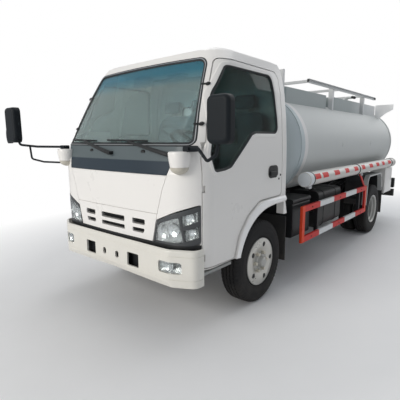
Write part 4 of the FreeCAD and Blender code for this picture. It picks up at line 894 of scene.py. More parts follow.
FINISHES = {
    "cab": Finish("cab_white", WHITE, 0.28, coat=0.15, shine=0.3, drift=0.012, spread=0.05, grain=0.02,
                  waves=0.8, dust=0.16, dust_top=0.75),
    # Arch lips: the cab's white paint made brighter, a painted highlight.
    "lip": Finish("arch_white_highlight", (0.97, 0.965, 0.955), 0.24, coat=0.3, shine=0.4, spread=0.04, grain=0.02,
                  dust=0.1, dust_top=0.75),
    # Tank: the dust on its lower shell is partly road film and partly a painted reflection of the ground.
    "tank": Banded("tank_silver", (0.5, 0.5, 0.5), 0.52, shine=0.3, drift_scale=1.3, spread=0.1, grain=0.03,
                   waves=1.6, dust=0.12, dust_top=1.1,
                   stops=((0.0, TANK_HEAD_SHADE), (0.86, TANK_RING_HIGHLIGHT), (0.945, TANK_SHELL))),
    "coaming": Banded("coaming_grey", (0.3, 0.3, 0.3), 0.5, shine=0.25, drift=0.04, waves=1.2, steps=False,
                      stops=COAMING_PAINTED_LIGHT),
    "frame": Finish("frame_black", (0.014, 0.015, 0.016), 0.5, drift=0.1, grain=0.12, grain_scale=160.0,
                    dust=0.2, dust_top=0.95, shine=0.3),
    "axle": Finish("cast_iron", (0.035, 0.036, 0.038), 0.62, metallic=0.3, drift=0.14, grain=0.35,
                   grain_scale=140.0, dust=0.7),
    "tyre": Finish("tyre_rubber", (0.011, 0.011, 0.012), 0.75, drift=0.1, drift_scale=6.0, grain=0.25,
                   grain_scale=260.0, dust=0.12, dust_top=0.75, shine=0.25),
    "wheel": Finish("wheel_silver", (0.45, 0.45, 0.43), 0.38, metallic=0.35, drift=0.06, drift_scale=5.0,
                    dust=0.3, dust_top=0.7),
    "cover": Finish("wheel_cover", (0.60, 0.59, 0.55), 0.28, metallic=0.7, drift=0.05, drift_scale=5.0,
                    grain=0.03, dust=0.3, dust_top=0.7),
    "nut": Finish("wheel_nut", (0.60, 0.57, 0.49), 0.35, metallic=0.5, drift=0.12, drift_scale=30.0),
    "garnish": Banded("cowl_grey", (0.2, 0.2, 0.2), 0.36, shine=0.3, drift=0.04, grain=0.02, axis="Z",
                      start=1.2, length=0.3, steps=False, stops=GARNISH_STOPS),
    "trim": Finish("black_trim", (0.013, 0.014, 0.015), 0.45, drift=0.06, grain=0.16, grain_scale=420.0,
                   shine=0.3),
    "rubber": Finish("seal_rubber", (0.020, 0.023, 0.025), 0.6, drift=0.05, grain=0.12, shine=0.3),
    "bumper": Finish("bumper_white", (0.74, 0.72, 0.66), 0.36, coat=0.2, drift_scale=4.0, dust=0.3,
                     dust_top=0.75),
    "rail": Finish("rail_silver", (0.60, 0.61, 0.61), 0.5, drift=0.06, grain=0.06),
    # Rail posts: the rear wing plates past 4.37 m are painted near white, a painted highlight.
    "post": Banded("post_silver", (0.6, 0.6, 0.6), 0.5, drift=0.06, grain=0.06, steps=False,
                   stops=((4.25, (0.62, 0.63, 0.63)), (4.37, (0.93, 0.93, 0.92)))),
    # Guard: parts nearer the middle than 0.9295 m take the near-black painted shade.
    "guard": Banded("guard_stripes", (0.6, 0.1, 0.1), 0.45, shine=0.2, shaded_inner_x=0.9295, drift=0.07,
                    drift_scale=20.0, grain=0.1, grain_scale=240.0, start=0.5, length=2.5, stops=GUARD_STOPS),
    "hose": Finish("hose_silver", (0.58, 0.57, 0.54), 0.4, metallic=0.1, drift=0.05),
    # Caps and bulbs: pale grey made lighter still, painted light on the hose tube caps where the cab's shadow
    # falls.
    "cap": Finish("cap_grey_painted_light", (0.68, 0.71, 0.73), 0.45, drift=0.04),
    "tape": Finish("red_tape", (0.66, 0.05, 0.045), 0.5, shine=0.15, drift=0.16, drift_scale=40.0, grain=0.12,
                   grain_scale=300.0),
    # Fender: parts nearer the middle than 0.868 m take the near-black painted shade.
    "fender": Finish("fender_grey", (0.50, 0.51, 0.50), 0.45, shaded_inner_x=0.868, drift=0.06, grain=0.06, dust=0.4,
                     dust_top=0.9),
    "cloth": Cloth("seat_cloth", (0.23, 0.25, 0.27), 0.85, drift=0.08, grain=0.5, thread=(0.08, 0.09, 0.1)),
    "leather": Finish("seat_edge", (0.10, 0.105, 0.11), 0.55, drift=0.08, grain=0.35, grain_scale=220.0),
    "sill": Finish("sill_grey", (0.30, 0.31, 0.30), 0.55, drift=0.06, grain=0.15, dust=0.4, dust_top=0.7),
    "dash": Finish("dash_grey", (0.36, 0.37, 0.37), 0.6, drift=0.04, grain=0.3, grain_scale=380.0),
    "flap": Finish("flap_rubber", (0.02, 0.02, 0.02), 0.66, drift=0.08, grain=0.3, grain_scale=120.0,
                   dust=0.5, dust_top=0.7),
    "chrome": Finish("reflector", (0.82, 0.83, 0.84), 0.09, metallic=1.0, drift=0.02, spread=0.03,
                     grain=0.02),
    "bezel": Finish("lamp_bezel", (0.052, 0.056, 0.06), 0.38, drift=0.05, grain=0.08),
    "bowl": Finish("lamp_bowl", (0.62, 0.63, 0.63), 0.22, metallic=0.85, drift=0.05),
    "beige": Finish("cup_foot", (0.52, 0.49, 0.42), 0.5, drift=0.05, grain=0.08),
    "tread": Finish("tread_plate", (0.33, 0.34, 0.34), 0.45, metallic=0.7, drift=0.1, drift_scale=8.0,
                    grain=0.3, grain_scale=60.0),
    "brass": Finish("valve_bronze", (0.38, 0.26, 0.12), 0.38, metallic=0.9, drift=0.1, drift_scale=12.0),
    "alloy": Finish("cast_alloy", (0.42, 0.43, 0.44), 0.45, metallic=0.8, drift=0.1, drift_scale=9.0,
                    grain=0.2, grain_scale=150.0),
    "dial": Finish("dial_black", (0.012, 0.012, 0.013), 0.25, drift=0.02),
    # Windscreen: its pale diffuse share is a painted reflection that lightens the glass.
    "glass": Pane("cab_glass", (0.75, 0.85, 0.84), band=(0.23, 0.63, 0.78), clear=0.3, painted_sheen=0.08),
    # Door glass: a green tint darkened to paint the shade of the cab's inside seen through it.
    "side_glass_shade": Pane("door_glass", (0.12, 0.16, 0.15), clear=0.12, bend=1.18),
    "mirror_case": Finish("mirror_case", (0.006, 0.009, 0.012), 0.55, shine=0.2, drift=0.06, grain=0.1,
                          grain_scale=420.0),
    "lens": Pane("clear_lens", (0.93, 0.95, 0.95), roughness=0.04, ribs=0.12, clear=0.45),
    "amber": Pane("amber_lens", (0.95, 0.34, 0.03), roughness=0.12, ribs=0.3, clear=0.1),
    "red": Pane("red_lens", (0.62, 0.012, 0.012), roughness=0.12, ribs=0.3, clear=0.06),
    "mirror": Finish("mirror_glass", (0.80, 0.82, 0.83), 0.03, metallic=1.0, drift=0.01, spread=0.01,
                     grain=0.0),
}

SLOT_FINISH = {
    Slot.CAB: "cab", Slot.TANK: "tank", Slot.FRAME: "frame", Slot.AXLE: "axle", Slot.TYRE: "tyre",
    Slot.WHEEL: "wheel", Slot.WINDOW: "glass", Slot.GARNISH: "garnish", Slot.TRIM: "trim", Slot.LAMP: "bezel",
    Slot.BUMPER: "bumper", Slot.RAIL: "rail", Slot.GUARD: "guard", Slot.HOSE: "hose", Slot.CLOTH: "cloth",
    Slot.DASH: "dash", Slot.FLAP: "flap", Slot.RED: "trim",
}
NODE_FINISH = {
    "coamings": "coaming", "rail_posts": "post", "cab_steps": "sill", "mirrors": "mirror_case",
    "door_glass_left": "side_glass_shade", "door_glass_right": "side_glass_shade", "rear_fenders": "fender",
    "valve_cabinets": "cab", "cabinet_door_left": "cab", "cabinet_door_right": "cab",
    "steering_wheel": "trim", "rear_lamps": "trim",
}


class Paintshop:
    """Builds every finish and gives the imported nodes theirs."""

    def __init__(self) -> None:
        """Builds the shared groups and the finishes."""
        makers = {"drift": drift_group, "dust": dust_group, "grain": grain_group, "weave": weave_group}
        groups = {key: make() for key, make in makers.items()}
        self.made = {key: finish.build(groups) for key, finish in FINISHES.items()}

    def __getitem__(self, key: str) -> bpy.types.Material:
        """The material of a finish."""
        return self.made[key]

    def dress_nodes(self) -> None:
        """Puts the finish of each node's slot into the node's material slots."""
        for part in frame["record"]["subparts"]:
            node = frame["nodes"][part["node"]]
            key = NODE_FINISH.get(part["node"], SLOT_FINISH[Slot(part["material_slot"])])
            node.data.materials.clear()
            node.data.materials.append(self.made[key])


@dataclass
class Studio:
    """Camera, lamps, world and floor.

    Attributes:
        eye: Camera position in metres.
        yaw: Turn from +Y towards -X, in degrees.
        pitch: Look down, in degrees.
        roll: Roll, in degrees.
        lens: Focal length for a 36 mm sensor.
    """

    eye: tuple[float, float, float] = (2.517, -2.805, 1.511)
    yaw: float = 40.49
    pitch: float = 9.57
    roll: float = -0.36
    lens: float = 32.39

    def camera(self) -> None:
        """Camera at the eye, turned by yaw, pitch and roll."""
        data = bpy.data.cameras.new("camera")
        data.sensor_fit = "AUTO"
        data.sensor_width = 36.0
        data.lens = self.lens
        data.clip_end = 200.0
        made = bpy.data.objects.new("camera", data)
        turns = ((self.yaw, "Z"), (90 - self.pitch, "X"), (self.roll, "Z"))
        yaw, pitch, roll = (Matrix.Rotation(math.radians(angle), 4, axis) for angle, axis in turns)
        made.matrix_world = Matrix.Translation(self.eye) @ yaw @ pitch @ roll
        bpy.context.scene.collection.objects.link(made)
        bpy.context.scene.camera = made

    def lamps(self) -> None:
        """Large soft lamps: key from the front left, fill from the right, top and rear."""
        for name, place, aim, size, power, tint in (
                ("key", (-1.6, -10.0, 4.8), (0.0, -0.6, 1.0), 5.0, 610.0, (1.0, 0.965, 0.915)),
                ("fill", (8.0, -2.0, 3.5), (0.0, 0.6, 1.0), 6.0, 15.0, (0.93, 0.97, 1.0)),
                ("top", (-0.6, 4.0, 8.0), (0.0, 3.0, 0.0), 6.5, 240.0, (1.0, 1.0, 1.0)),
                ("rear", (3.0, 10.0, 5.0), (0.0, 2.0, 1.0), 5.0, 130.0, (1.0, 1.0, 1.0))):
            data = bpy.data.lights.new(name, "AREA")
            data.shape = "SQUARE"
            data.size = size
            data.energy = power
            data.color = tint
            lamp = bpy.data.objects.new(name, data)
            back = np.array(place) - np.array(aim)
            back /= np.linalg.norm(back)
            side = np.cross((0, 0, 1), back)
            side /= np.linalg.norm(side)
            axes = np.stack([side, np.cross(back, side), back, place], axis=1)
            lamp.matrix_world = Matrix(np.vstack([axes, [0, 0, 0, 1]]).tolist())
            bpy.context.scene.collection.objects.link(lamp)

    def world(self) -> None:
        """Even pale light, white to the camera and partly white in reflections."""
        world = bpy.data.worlds.new("world")
        bpy.context.scene.world = world
        world.use_nodes = True
        graph = Graph(world.node_tree)
        rays = graph.add("LightPath").outputs
        soft = graph.add("Background", {"Color": (0.84, 0.89, 0.96, 1), "Strength": 0.38})
        seen = graph.add("Background", {"Color": (1, 1, 1, 1), "Strength": 1.0})
        straight = graph.math("MAXIMUM", rays["Is Camera Ray"], rays["Is Transmission Ray"])
        shown = graph.math("MAXIMUM", straight, graph.math("MULTIPLY", rays["Is Glossy Ray"], 0.4))
        mixed = graph.add("MixShader", {0: shown, 1: soft.outputs[0], 2: seen.outputs[0]})
        graph.add("OutputWorld", {"Surface": mixed.outputs[0]})

    def floor(self) -> None:
        """Pale floor that fades to white outside an ellipse round the truck."""
        u = np.linspace(-FLOOR_HALF, FLOOR_HALF, 3)
        made = many("floor", [flat("z")(u[:, None], u[None, :], 0.0)], Join.OPEN)
        material, graph = new_material("floor")
        place = graph.place()
        dx = graph.math("MULTIPLY", graph.along(place, "X"), 0.30)
        dy = graph.math("MULTIPLY", graph.math("SUBTRACT", graph.along(place, "Y"), 1.9), 0.19)
        squares = [graph.math("MULTIPLY", d, d) for d in (dx, dy)]
        away = graph.math("SQRT", graph.math("ADD", *squares))
        fade = graph.math("MULTIPLY", graph.math("SUBTRACT", away, 0.75), 1.6, clamp=True)
        colour = graph.mix(graph.noise(place, 3.0, 3.0), (0.83, 0.83, 0.83), (0.86, 0.86, 0.86))
        matt = graph.add("BsdfPrincipled", {"Base Color": colour, "Roughness": 0.8})
        white = graph.add("Emission", {"Color": (1, 1, 1, 1), "Strength": 1.0})
        factor = graph.math("MULTIPLY", fade, graph.add("LightPath").outputs["Is Camera Ray"])
        mixed = graph.add("MixShader", {0: factor, 1: matt.outputs[0], 2: white.outputs[0]})
        graph.add("OutputMaterial", {"Surface": mixed.outputs[0]})
        made.data.materials.append(material)

    def build(self) -> None:
        """Sets the whole studio up."""
        self.camera()
        self.lamps()
        self.world()
        self.floor()
        bpy.context.scene.view_settings.view_transform = "Standard"


@dataclass
class Assembly:
    """Lays pieces with their finish and body.

    Attributes:
        shop: The finishes.
        body: The body that its pieces ride on, where no other is given.
    """

    shop: Paintshop
    body: str = "chassis"

    def settle(self, piece: Piece, look: str, slot: Slot, body: str = "") -> None:
        """Gives a piece its finish and its body, and reports it."""
        piece.data.materials.append(self.shop[look])
        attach(piece, body or self.body)
        LOG.info("%s rides on %s with %d faces", piece.name, body or self.body, len(piece.data.polygons))

    def lay(self, name: str, grids: Sequence[Array], look: str, slot: Slot, body: str = "",
            join: Join = Join.BAR, sides: Sequence[int] = (1,)) -> Piece:
        """Makes a piece.

        Args:
            name: The piece's name.
            grids: Its grids of points.
            look: Its finish.
            slot: The record's slot; not used.
            body: The body that it rides on, or nothing for the assembly's own.
            join: How the grids close.
            sides: 1 for the grids as they are, -1 for their images on the right.

        Returns:
            The object.
        """
        piece = many(name, on_sides(grids, sides), join)
        self.settle(piece, look, slot, body)
        return piece


@dataclass
class Wheels(Assembly):
    """Tyres with their tread, the front wheels' covers, and wheel nuts.

    Attributes:
        radius: Tyre radius.
        pitches: Tread pitches round the tyre.
        steps: Steps round in a pitch.
        groove: Tread depth.
        swing: Sideways swing of the tread's zigzag.
    """

    radius: float = 387.0
    pitches: int = 62
    steps: int = 6
    groove: float = 9.0
    swing: float = 3.5

    def profile(self) -> Array:
        """Section from bead to bead: across, radius, zigzag weight and notch weight."""
        r, low = self.radius, self.radius - self.groove
        half = np.array([
            (76, 206.5, 0, 0), (77, 220, 0, 0), (80, 228, 0, 0), (88, 234, 0, 0), (93, 238, 0, 0),
            (95.5, 244, 0, 0), (94.5, 247, 0, 0), (97.5, 262, 0, 0), (99.6, 284, 0, 0), (99.9, 300, 0, 0),
            (98.6, 318, 0, 0), (97.8, 321, 0, 0), (98.6, 324, 0, 0), (97.6, 336, 0, 0), (95.0, 346, 0, 1),
            (91.5, 360, 0, 4), (87.0, 371, 0, 6), (81.0, 378.5, 0, 6), (74.0, 383, 0, 4),
            (66.0, r - 2.0, 0, 0), (58.0, r - 1.2, 1, 0), (56.5, low, 1, 0), (49.5, low, 1, 0),
            (48.0, r - 0.9, 1, 0), (34.0, r - 0.5, 0.4, 0), (22.0, r - 0.2, -1, 0), (20.5, low, -1, 0),
            (13.5, low, -1, 0), (12.0, r, -1, 0), (0.0, r, 0, 0),
        ], float)
        return np.vstack([half, (half * np.array([-1, 1, 1, 1]))[-2::-1]])

    def tyre(self, x: float, y: float) -> Array:
        """Tyre grid: across = a + swing w tri(angle), radius = r - notch square(angle).

        Args:
            x: Middle of the tyre.
            y: Axle position.

        Returns:
            A grid closed both ways.
        """
        across, reach, zig, notch = self.profile().T
        angle = np.linspace(0, 2 * math.pi, self.pitches * self.steps, endpoint=False)[:, None]
        phase = (angle * self.pitches / (2 * math.pi)) % 1.0
        tri = 4 * np.abs(phase - 0.5) - 1
        radius = reach - notch * (phase > 0.55)
        return np.stack([x + (across + self.swing * zig * tri), y + radius * np.cos(angle),
                         self.radius + radius * np.sin(angle)], axis=-1)

    def spot(self, x: float, y: float, reach: float, angle: float) -> tuple[float, float, float]:
        """Point at a distance and an angle from the middle of a wheel."""
        return x, y + reach * math.cos(angle), self.radius + reach * math.sin(angle)

    def nuts(self, x: float, y: float, reach: float) -> list[Array]:
        """Six six-sided nuts with a chamfer, on washers.

        Args:
            x: Where the left wheel's nuts sit.
            y: Axle position.
            reach: Length of a nut.

        Returns:
            Grids.
        """
        nut = [(0, 0), (0, 20), (3, 20), (4, 16), (reach - 3, 16), (reach, 13.5), (reach + 0.5, 0)]
        return [turned(nut, self.spot(x, y, NUT_CIRCLE, 2 * math.pi * k / 6), "x", 6) for k in range(6)]

    def cover_x(self, r: Array) -> Array:
        """Face of the domed cover at radius r: x = 852.5 + 6 t + 11 sin(pi t), t from edge to edge."""
        t = (r - COVER_IN) / (COVER_OUT - COVER_IN)
        return 852.5 + 6.0 * t + 11.0 * np.sin(math.pi * t)

    def cover(self, name: str, sign: int) -> Piece:
        """Domed cover with hand holes: each sector is ruled from its hole to its border.

        Args:
            name: The piece's name.
            sign: 1 for the left wheel, -1 for the right.

        Returns:
            The closed piece.
        """
        half = math.pi / HAND_HOLES
        arc, rise = np.linspace(-half, half, 17), np.linspace(COVER_IN, COVER_OUT, 9)
        inner = slice(0, len(arc))
        outer = slice(len(arc) + len(rise) - 2, 2 * len(arc) + len(rise) - 2)
        border = np.array([(a, COVER_IN) for a in arc[:-1]] + [(half, r) for r in rise[:-1]]
                          + [(a, COVER_OUT) for a in arc[:0:-1]] + [(-half, r) for r in rise[:0:-1]])
        drawn = (border - np.array([0.0, HOLE_AT])) * np.array([HOLE_AT, 1.0])
        rim = drawn / np.linalg.norm(drawn, axis=1)[:, None]
        share = np.array([1.0, 0.7, 0.45, 0.25, 0.1, 0.0])[:, None, None]
        face = HOLE_R * rim + (drawn - HOLE_R * rim) * share
        rolled = [(HOLE_R + wider) * rim[None] for wider in (-1.0, 1.0)]
        local = np.concatenate([face, *rolled, face[:-1][::-1]])
        # How far behind the face each row lies: the face itself, the rolled rim, the back.
        sink = np.repeat([0.0, 5.0, 1.5], [len(face), len(rolled), len(face) - 1])[:, None]
        points, faces, start = [], [], 0
        for k in range(HAND_HOLES):
            angle = local[..., 0] / HOLE_AT + HOLE_START + 2 * half * k
            r = local[..., 1] + HOLE_AT
            grid = np.stack([sign * (self.cover_x(r) - sink), r * np.cos(angle),
                             self.radius + r * np.sin(angle)], axis=-1)
            edges = grid[[0, -1]]
            for part, closed in ((grid, True), (edges[:, inner], False), (edges[:, outer], False)):
                points.append(part.reshape(-1, 3))
                faces.append(grid_faces(*part.shape[:2], False, closed, start))
                start += part.shape[0] * part.shape[1]
        return mesh_piece(name, np.vstack(points), np.vstack(faces))

    def build(self) -> None:
        """Makes the tyres, covers and nuts."""
        depth = float(self.cover_x(np.array(HOLE_AT)))
        angles = [HOLE_START + 2 * math.pi * k / HAND_HOLES for k in range(HAND_HOLES)]
        # Dark discs behind the cover's hand holes: painted shade, so the holes read dark.
        disc = [(-7, 0), (-7, 26), (-4.5, 26), (-4.5, 0)]
        shade_plates = [turned(disc, self.spot(depth, 0.0, HOLE_AT, a), "x", 24) for a in angles]
        for side, sign in SIDES:
            front, rear = f"wheel_front_{side}", f"wheels_rear_{side}"
            tread = [self.tyre(sign * FRONT_TYRE, 0.0)]
            made = self.lay(f"tyre_tread_front_{side}", tread, "tyre", Slot.TYRE, front, Join.RING)
            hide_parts(f"front_tyre_{side}")
            tread = [self.tyre(sign * x, REAR_AXLE) for x in REAR_TYRES]
            made = self.lay(f"tyre_treads_rear_{side}", tread, "tyre", Slot.TYRE, rear, Join.RING)
            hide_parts(f"rear_tyres_{side}")
            self.settle(self.cover(f"wheel_cover_{side}", sign), "cover", Slot.WHEEL, front)
            for name, grids, look, body in (
                    (f"hole_shades_{side}", shade_plates, "trim", front),
                    (f"nuts_front_{side}", self.nuts(FRONT_TYRE + 84.3, 0.0, 29.0), "nut", front),
                    (f"nuts_rear_{side}", self.nuts(REAR_MATE + 12.5, REAR_AXLE, 33.0), "nut", rear)):
                self.lay(name, grids, look, Slot.WHEEL, body, Join.TURNED, (sign,))


@dataclass
class CabSkin(Assembly):
    """Arch lips, seals, louvres, handles and small fittings of the cab's outside."""

    body: str = "cab"

    def arches(self) -> None:
        """Smooth lips on the wheel arches: ruled between two B-splines, rolled into the arch."""
        t, edges = np.linspace(0, 1, 80), []
        for line in (ARCH_OUTER, ARCH_INNER):
            run = bent([(0, y, z) for y, z in line], 14.0)
            at = np.linspace(0, 1, len(run))
            edges.append(np.stack([np.interp(t, at, run[:, k]) for k in (1, 2)], axis=-1))
        outer, inner = edges
        section = np.array([(0.05, 903), (0.06, 907), (0.10, 909.5), (0.30, 917), (0.48, 921), (0.56, 922),
                            (0.66, 921.5), (0.84, 916), (0.97, 908), (1.0, 898), (1.0, 852), (0.95, 852),
                            (0.9, 896)])
        drawn = outer[:, None] + (inner - outer)[:, None] * section[None, :, :1]
        across = np.broadcast_to(section[None, :, 1:], (*drawn.shape[:2], 1))
        # The lips take the brighter white: a painted highlight.
        self.lay("arch_lips", [np.concatenate([across, drawn], axis=-1)], "lip", Slot.CAB, sides=BOTH)

    def seals(self) -> None:
        """Window rubbers, the windscreen's bright bead and the door windows' pressed rims."""
        lip = [(-5, 0.3), (-1, 3.0), (5, 2.6), (11, -3.0), (24, -10.2), (25, -11.7), (3, -11.7), (1, -6),
               (-3, -0.5)]
        bead = [(4, 2.2), (5.5, 4.0), (8.5, 3.2), (10, 0.2), (7, -1.0)]
        for name, profile, look, slot in (("windscreen_rubber", lip, "rubber", Slot.TRIM),
                                          ("windscreen_bead", bead, "alloy", Slot.RAIL)):
            grid = hoop(rounded(SCREEN, SCREEN_R, 14), profile, cab_front)
            self.lay(name, [grid], look, slot, join=Join.RING)
        rim = [(-4.5, -0.5), (-4.5, 0.8), (-12, 1.8), (-26, 5.0), (-31, 4.6), (-33.5, 2.0), (-34, -0.5)]
        lip = [(-4, 0.3), (-1, 2.4), (4, 2.0), (8, -3.0), (15, -9.6), (15.5, -11.7), (2, -11.7), (1, -6),
               (-2, -0.5)]
        for name, profile, look, slot in (("door_window_rim", rim, "cab", Slot.CAB),
                                          ("door_rubber", lip, "rubber", Slot.TRIM)):
            for side, sign in SIDES:
                grid = hoop(rounded(DOOR_WINDOW, DOOR_WINDOW_R, 14), profile, cab_side(sign))
                self.lay(f"{name}_{side}", [grid], look, slot, f"door_{side}", Join.RING)
        lip = [(-14, 14.2), (-10, 18), (4, 18), (12, 10), (16, -5), (-2, -5), (-3, 14.2)]
        grid = hoop(rounded(REAR_WINDOW, 50, 14), lip, flat("y", BACK_WALL))
        self.lay("rear_window_rubber", [grid], "rubber", Slot.TRIM, join=Join.RING)

    def cups(self) -> None:
        """White cups under the mirror arms, with a pale foot below."""
        cup = [(1428, 0), (1428, 71), (1424, 78), (1414, 81), (1370, 77), (1330, 69), (1318, 67), (1318, 0)]
        foot = [(1317, 0), (1317, 66.5), (1310, 67), (1298, 63), (1284, 52), (1272, 34), (1266, 15),
                (1264, 0)]
        for name, profile, look in (("mirror_cups", cup, "cab"), ("cup_feet", foot, "beige")):
            self.lay(name, [turned(profile, CUP_AT, "z", 40)], look, Slot.CAB, join=Join.TURNED, sides=BOTH)

    def louvres(self) -> None:
        """Dark louvres set back in the grille's slots."""
        grids, blade = [], np.array([(-11, -1.6), (11, -1.6), (11, 1.6), (-11, 1.6)])
        for low, high, cut in ((849.0, 895.0, 0.0), (783.0, 820.0, 22.0)):
            for x0, x1 in ((-160.0, 160.0), (258.0, 405.0 - cut), (-405.0 + cut, -258.0)):
                x = np.linspace(x0 + 1, x1 - 1, 12)
                back = cab_front(x[:, None], np.array([[low + 1, high - 1]]), -34.0)
                grids.append(thick(back, back + np.array([0, 3.0, 0])))
                for share in (0.34, 0.67):
                    grids.append(swept(cab_front(x, low + (high - low) * share, -20.0), blade))
        self.lay("grille_louvres", grids, "trim", Slot.TRIM)

    def fittings(self) -> None:
        """Washer nozzles and pillar clips."""
        dome = turned([(0, 0), (0, 16), (9, 15), (15, 9), (17, 0)], (0, 0, 0), "z", 18)
        dome *= np.array([1.7, 1.1, 1.3])
        nozzles = [dome + cab_front(x, 1424.0, 0.0) + np.array([0, 4, -10]) for x in (-319.0, 369.0)]
        self.lay("washer_nozzles", nozzles, "trim", Slot.TRIM, join=Join.TURNED)
        clips = []
        r, lift = np.array([(13, -4.0), (15, 6.0), (13, 13.0), (7, 17.0)]).T[..., None]
        a = np.linspace(0, 2 * math.pi, 16, endpoint=False)[None, :]
        for x, z in ((763.0, 1919.0), (813.0, 1622.0)):
            clips.append(cab_front(x + r * np.cos(a), z + r * np.sin(a), lift))
            clips.append(cushioned(box_ring(x - 48, x + 4, z - 7, z + 7, 3, 8), 1.0, cab_front, -4.0, 7.0))
        self.lay("pillar_clips", clips, "trim", Slot.TRIM, sides=BOTH)

    def sleeves(self) -> None:
        """Sleeves over the wiper arms, from the pivot to the middle of the blade, narrowing upwards."""
        ring = np.array([(-1, -9), (-1, 5), (-0.5, 9), (0.5, 9), (1, 5), (1, -9)])
        grids = []
        for pivot, first, last in WIPERS:
            middle = (np.array(first) + np.array(last)) / 2
            route = np.array([pivot, (pivot[0] - 60, pivot[1] + 12), middle])
            line = resample(np.column_stack([route, (33.0, 35.0, 2.0)]), 30)
            wide = np.linspace(15.0, 7.0, len(line))[:, None]
            along = np.gradient(line[:, :2], axis=0)
            across = along[:, ::-1] * np.array([1.0, -1.0]) / np.linalg.norm(along, axis=1)[:, None]
            drawn = line[:, None, :2] + across[:, None] * (ring[None, :, :1] * wide[:, :, None])
            grids.append(cab_front(drawn[..., 0], drawn[..., 1], line[:, None, 2] + ring[None, :, 1]))
        self.lay("wiper_sleeves", grids, "trim", Slot.TRIM)

    def strip(self) -> None:
        """Dark strip under the grille, a little higher at its ends."""
        s = np.linspace(-908, 908, 90)
        high = 735 + 3 * np.clip((np.abs(s) - 500) / 60, 0, 1)
        ring = ((-11.0, 0.0), (1.0, 0.0), (2.6, 0.15), (2.6, 0.9), (1.0, 1.0), (-11.0, 1.0))
        band = np.stack([cab_girth(s, 700 + (high - 700) * share, lift) for lift, share in ring], axis=1)
        self.lay("lower_strip", [band], "trim", Slot.TRIM)

    def handles(self) -> None:
        """Dark door handles, key barrels and the inner trim panels of the doors."""
        barrel = turned([(889.5, 0), (889.5, 10), (893, 10), (894, 8), (894, 0)], (0, 246.0, 1142.0), "x", 20)
        plates = [slab(box_ring(42, 217, 1159, 1273, 44), 894.0, 897.0, 2),
                  slab(box_ring(62, 197, 1178, 1220, 14), 896.0, 910.0, 5)]
        panel = rounded([(-740, 640), (-500, 640), (-330, 860), (-160, 1020), (250, 1030), (250, 1235),
                         (-500, 1235), (-740, 1235)], [30, 40, 90, 60, 30, 30, 20, 40], 24)
        for side, sign in SIDES:
            body, barrels = f"door_{side}", [barrel, barrel + np.array([0.0, 28.0, 34.0])]
            self.lay(f"key_barrels_{side}", barrels, "trim", Slot.TRIM, body, Join.TURNED, (sign,))
            self.lay(f"door_handle_{side}", plates, "trim", Slot.TRIM, body, sides=(sign,))
            lining = cushioned(panel, 10.0, cab_side(sign), -46.0, -58.0)
            self.lay(f"door_trim_{side}", [lining], "dash", Slot.DASH, body)

    def build(self) -> None:
        """Makes everything on the cab's skin."""
        for step in (self.arches, self.seals, self.cups, self.louvres, self.fittings, self.sleeves,
                     self.strip, self.handles):
            step()


# Height of the lamp's lower and upper edge by girth, and the width of a facet.
LAMP_FOOT = ([494, 777, 906], [741, 741, 779])
LAMP_TOP = ([494, 534, 562, 700, 890, 906], [748, 894, 918, 977, 1031, 1034])
FACET = 24.0
# A field of the lamp's face: first and last girth, lower and upper share of its height, and
# how far each end runs outwards at the foot.
LAMP_PANES = ((518, 731, 0.05, 0.84, (0, 40)), (747, 896, 0.55, 0.86, (40, 0)),
              (747, 896, 0.08, 0.43, (40, 0)))
LAMP_FRAMES = ((492, 519, 0.0, 1.0, (0, 0)), (516, 751, 0.83, 1.0, (0, 0)), (730, 748, 0.0, 1.0, (40, 40)),
               (745, 909, 0.42, 0.56, (36, 0)), (745, 909, 0.85, 1.0, (0, 0)), (516, 751, -0.1, 0.06, (0, 0)),
               (745, 909, -0.1, 0.09, (0, 0)), (895, 909, -0.1, 1.0, (0, 0)))
# Girth and height of each reflector, its radius and depth, and its bulb's radius.
REFLECTORS = ((600, 822, 52, 20, 13), (692, 850, 52, 20, 13), (828, 945, 34, 12, 10), (846, 838, 30, 12, 9))


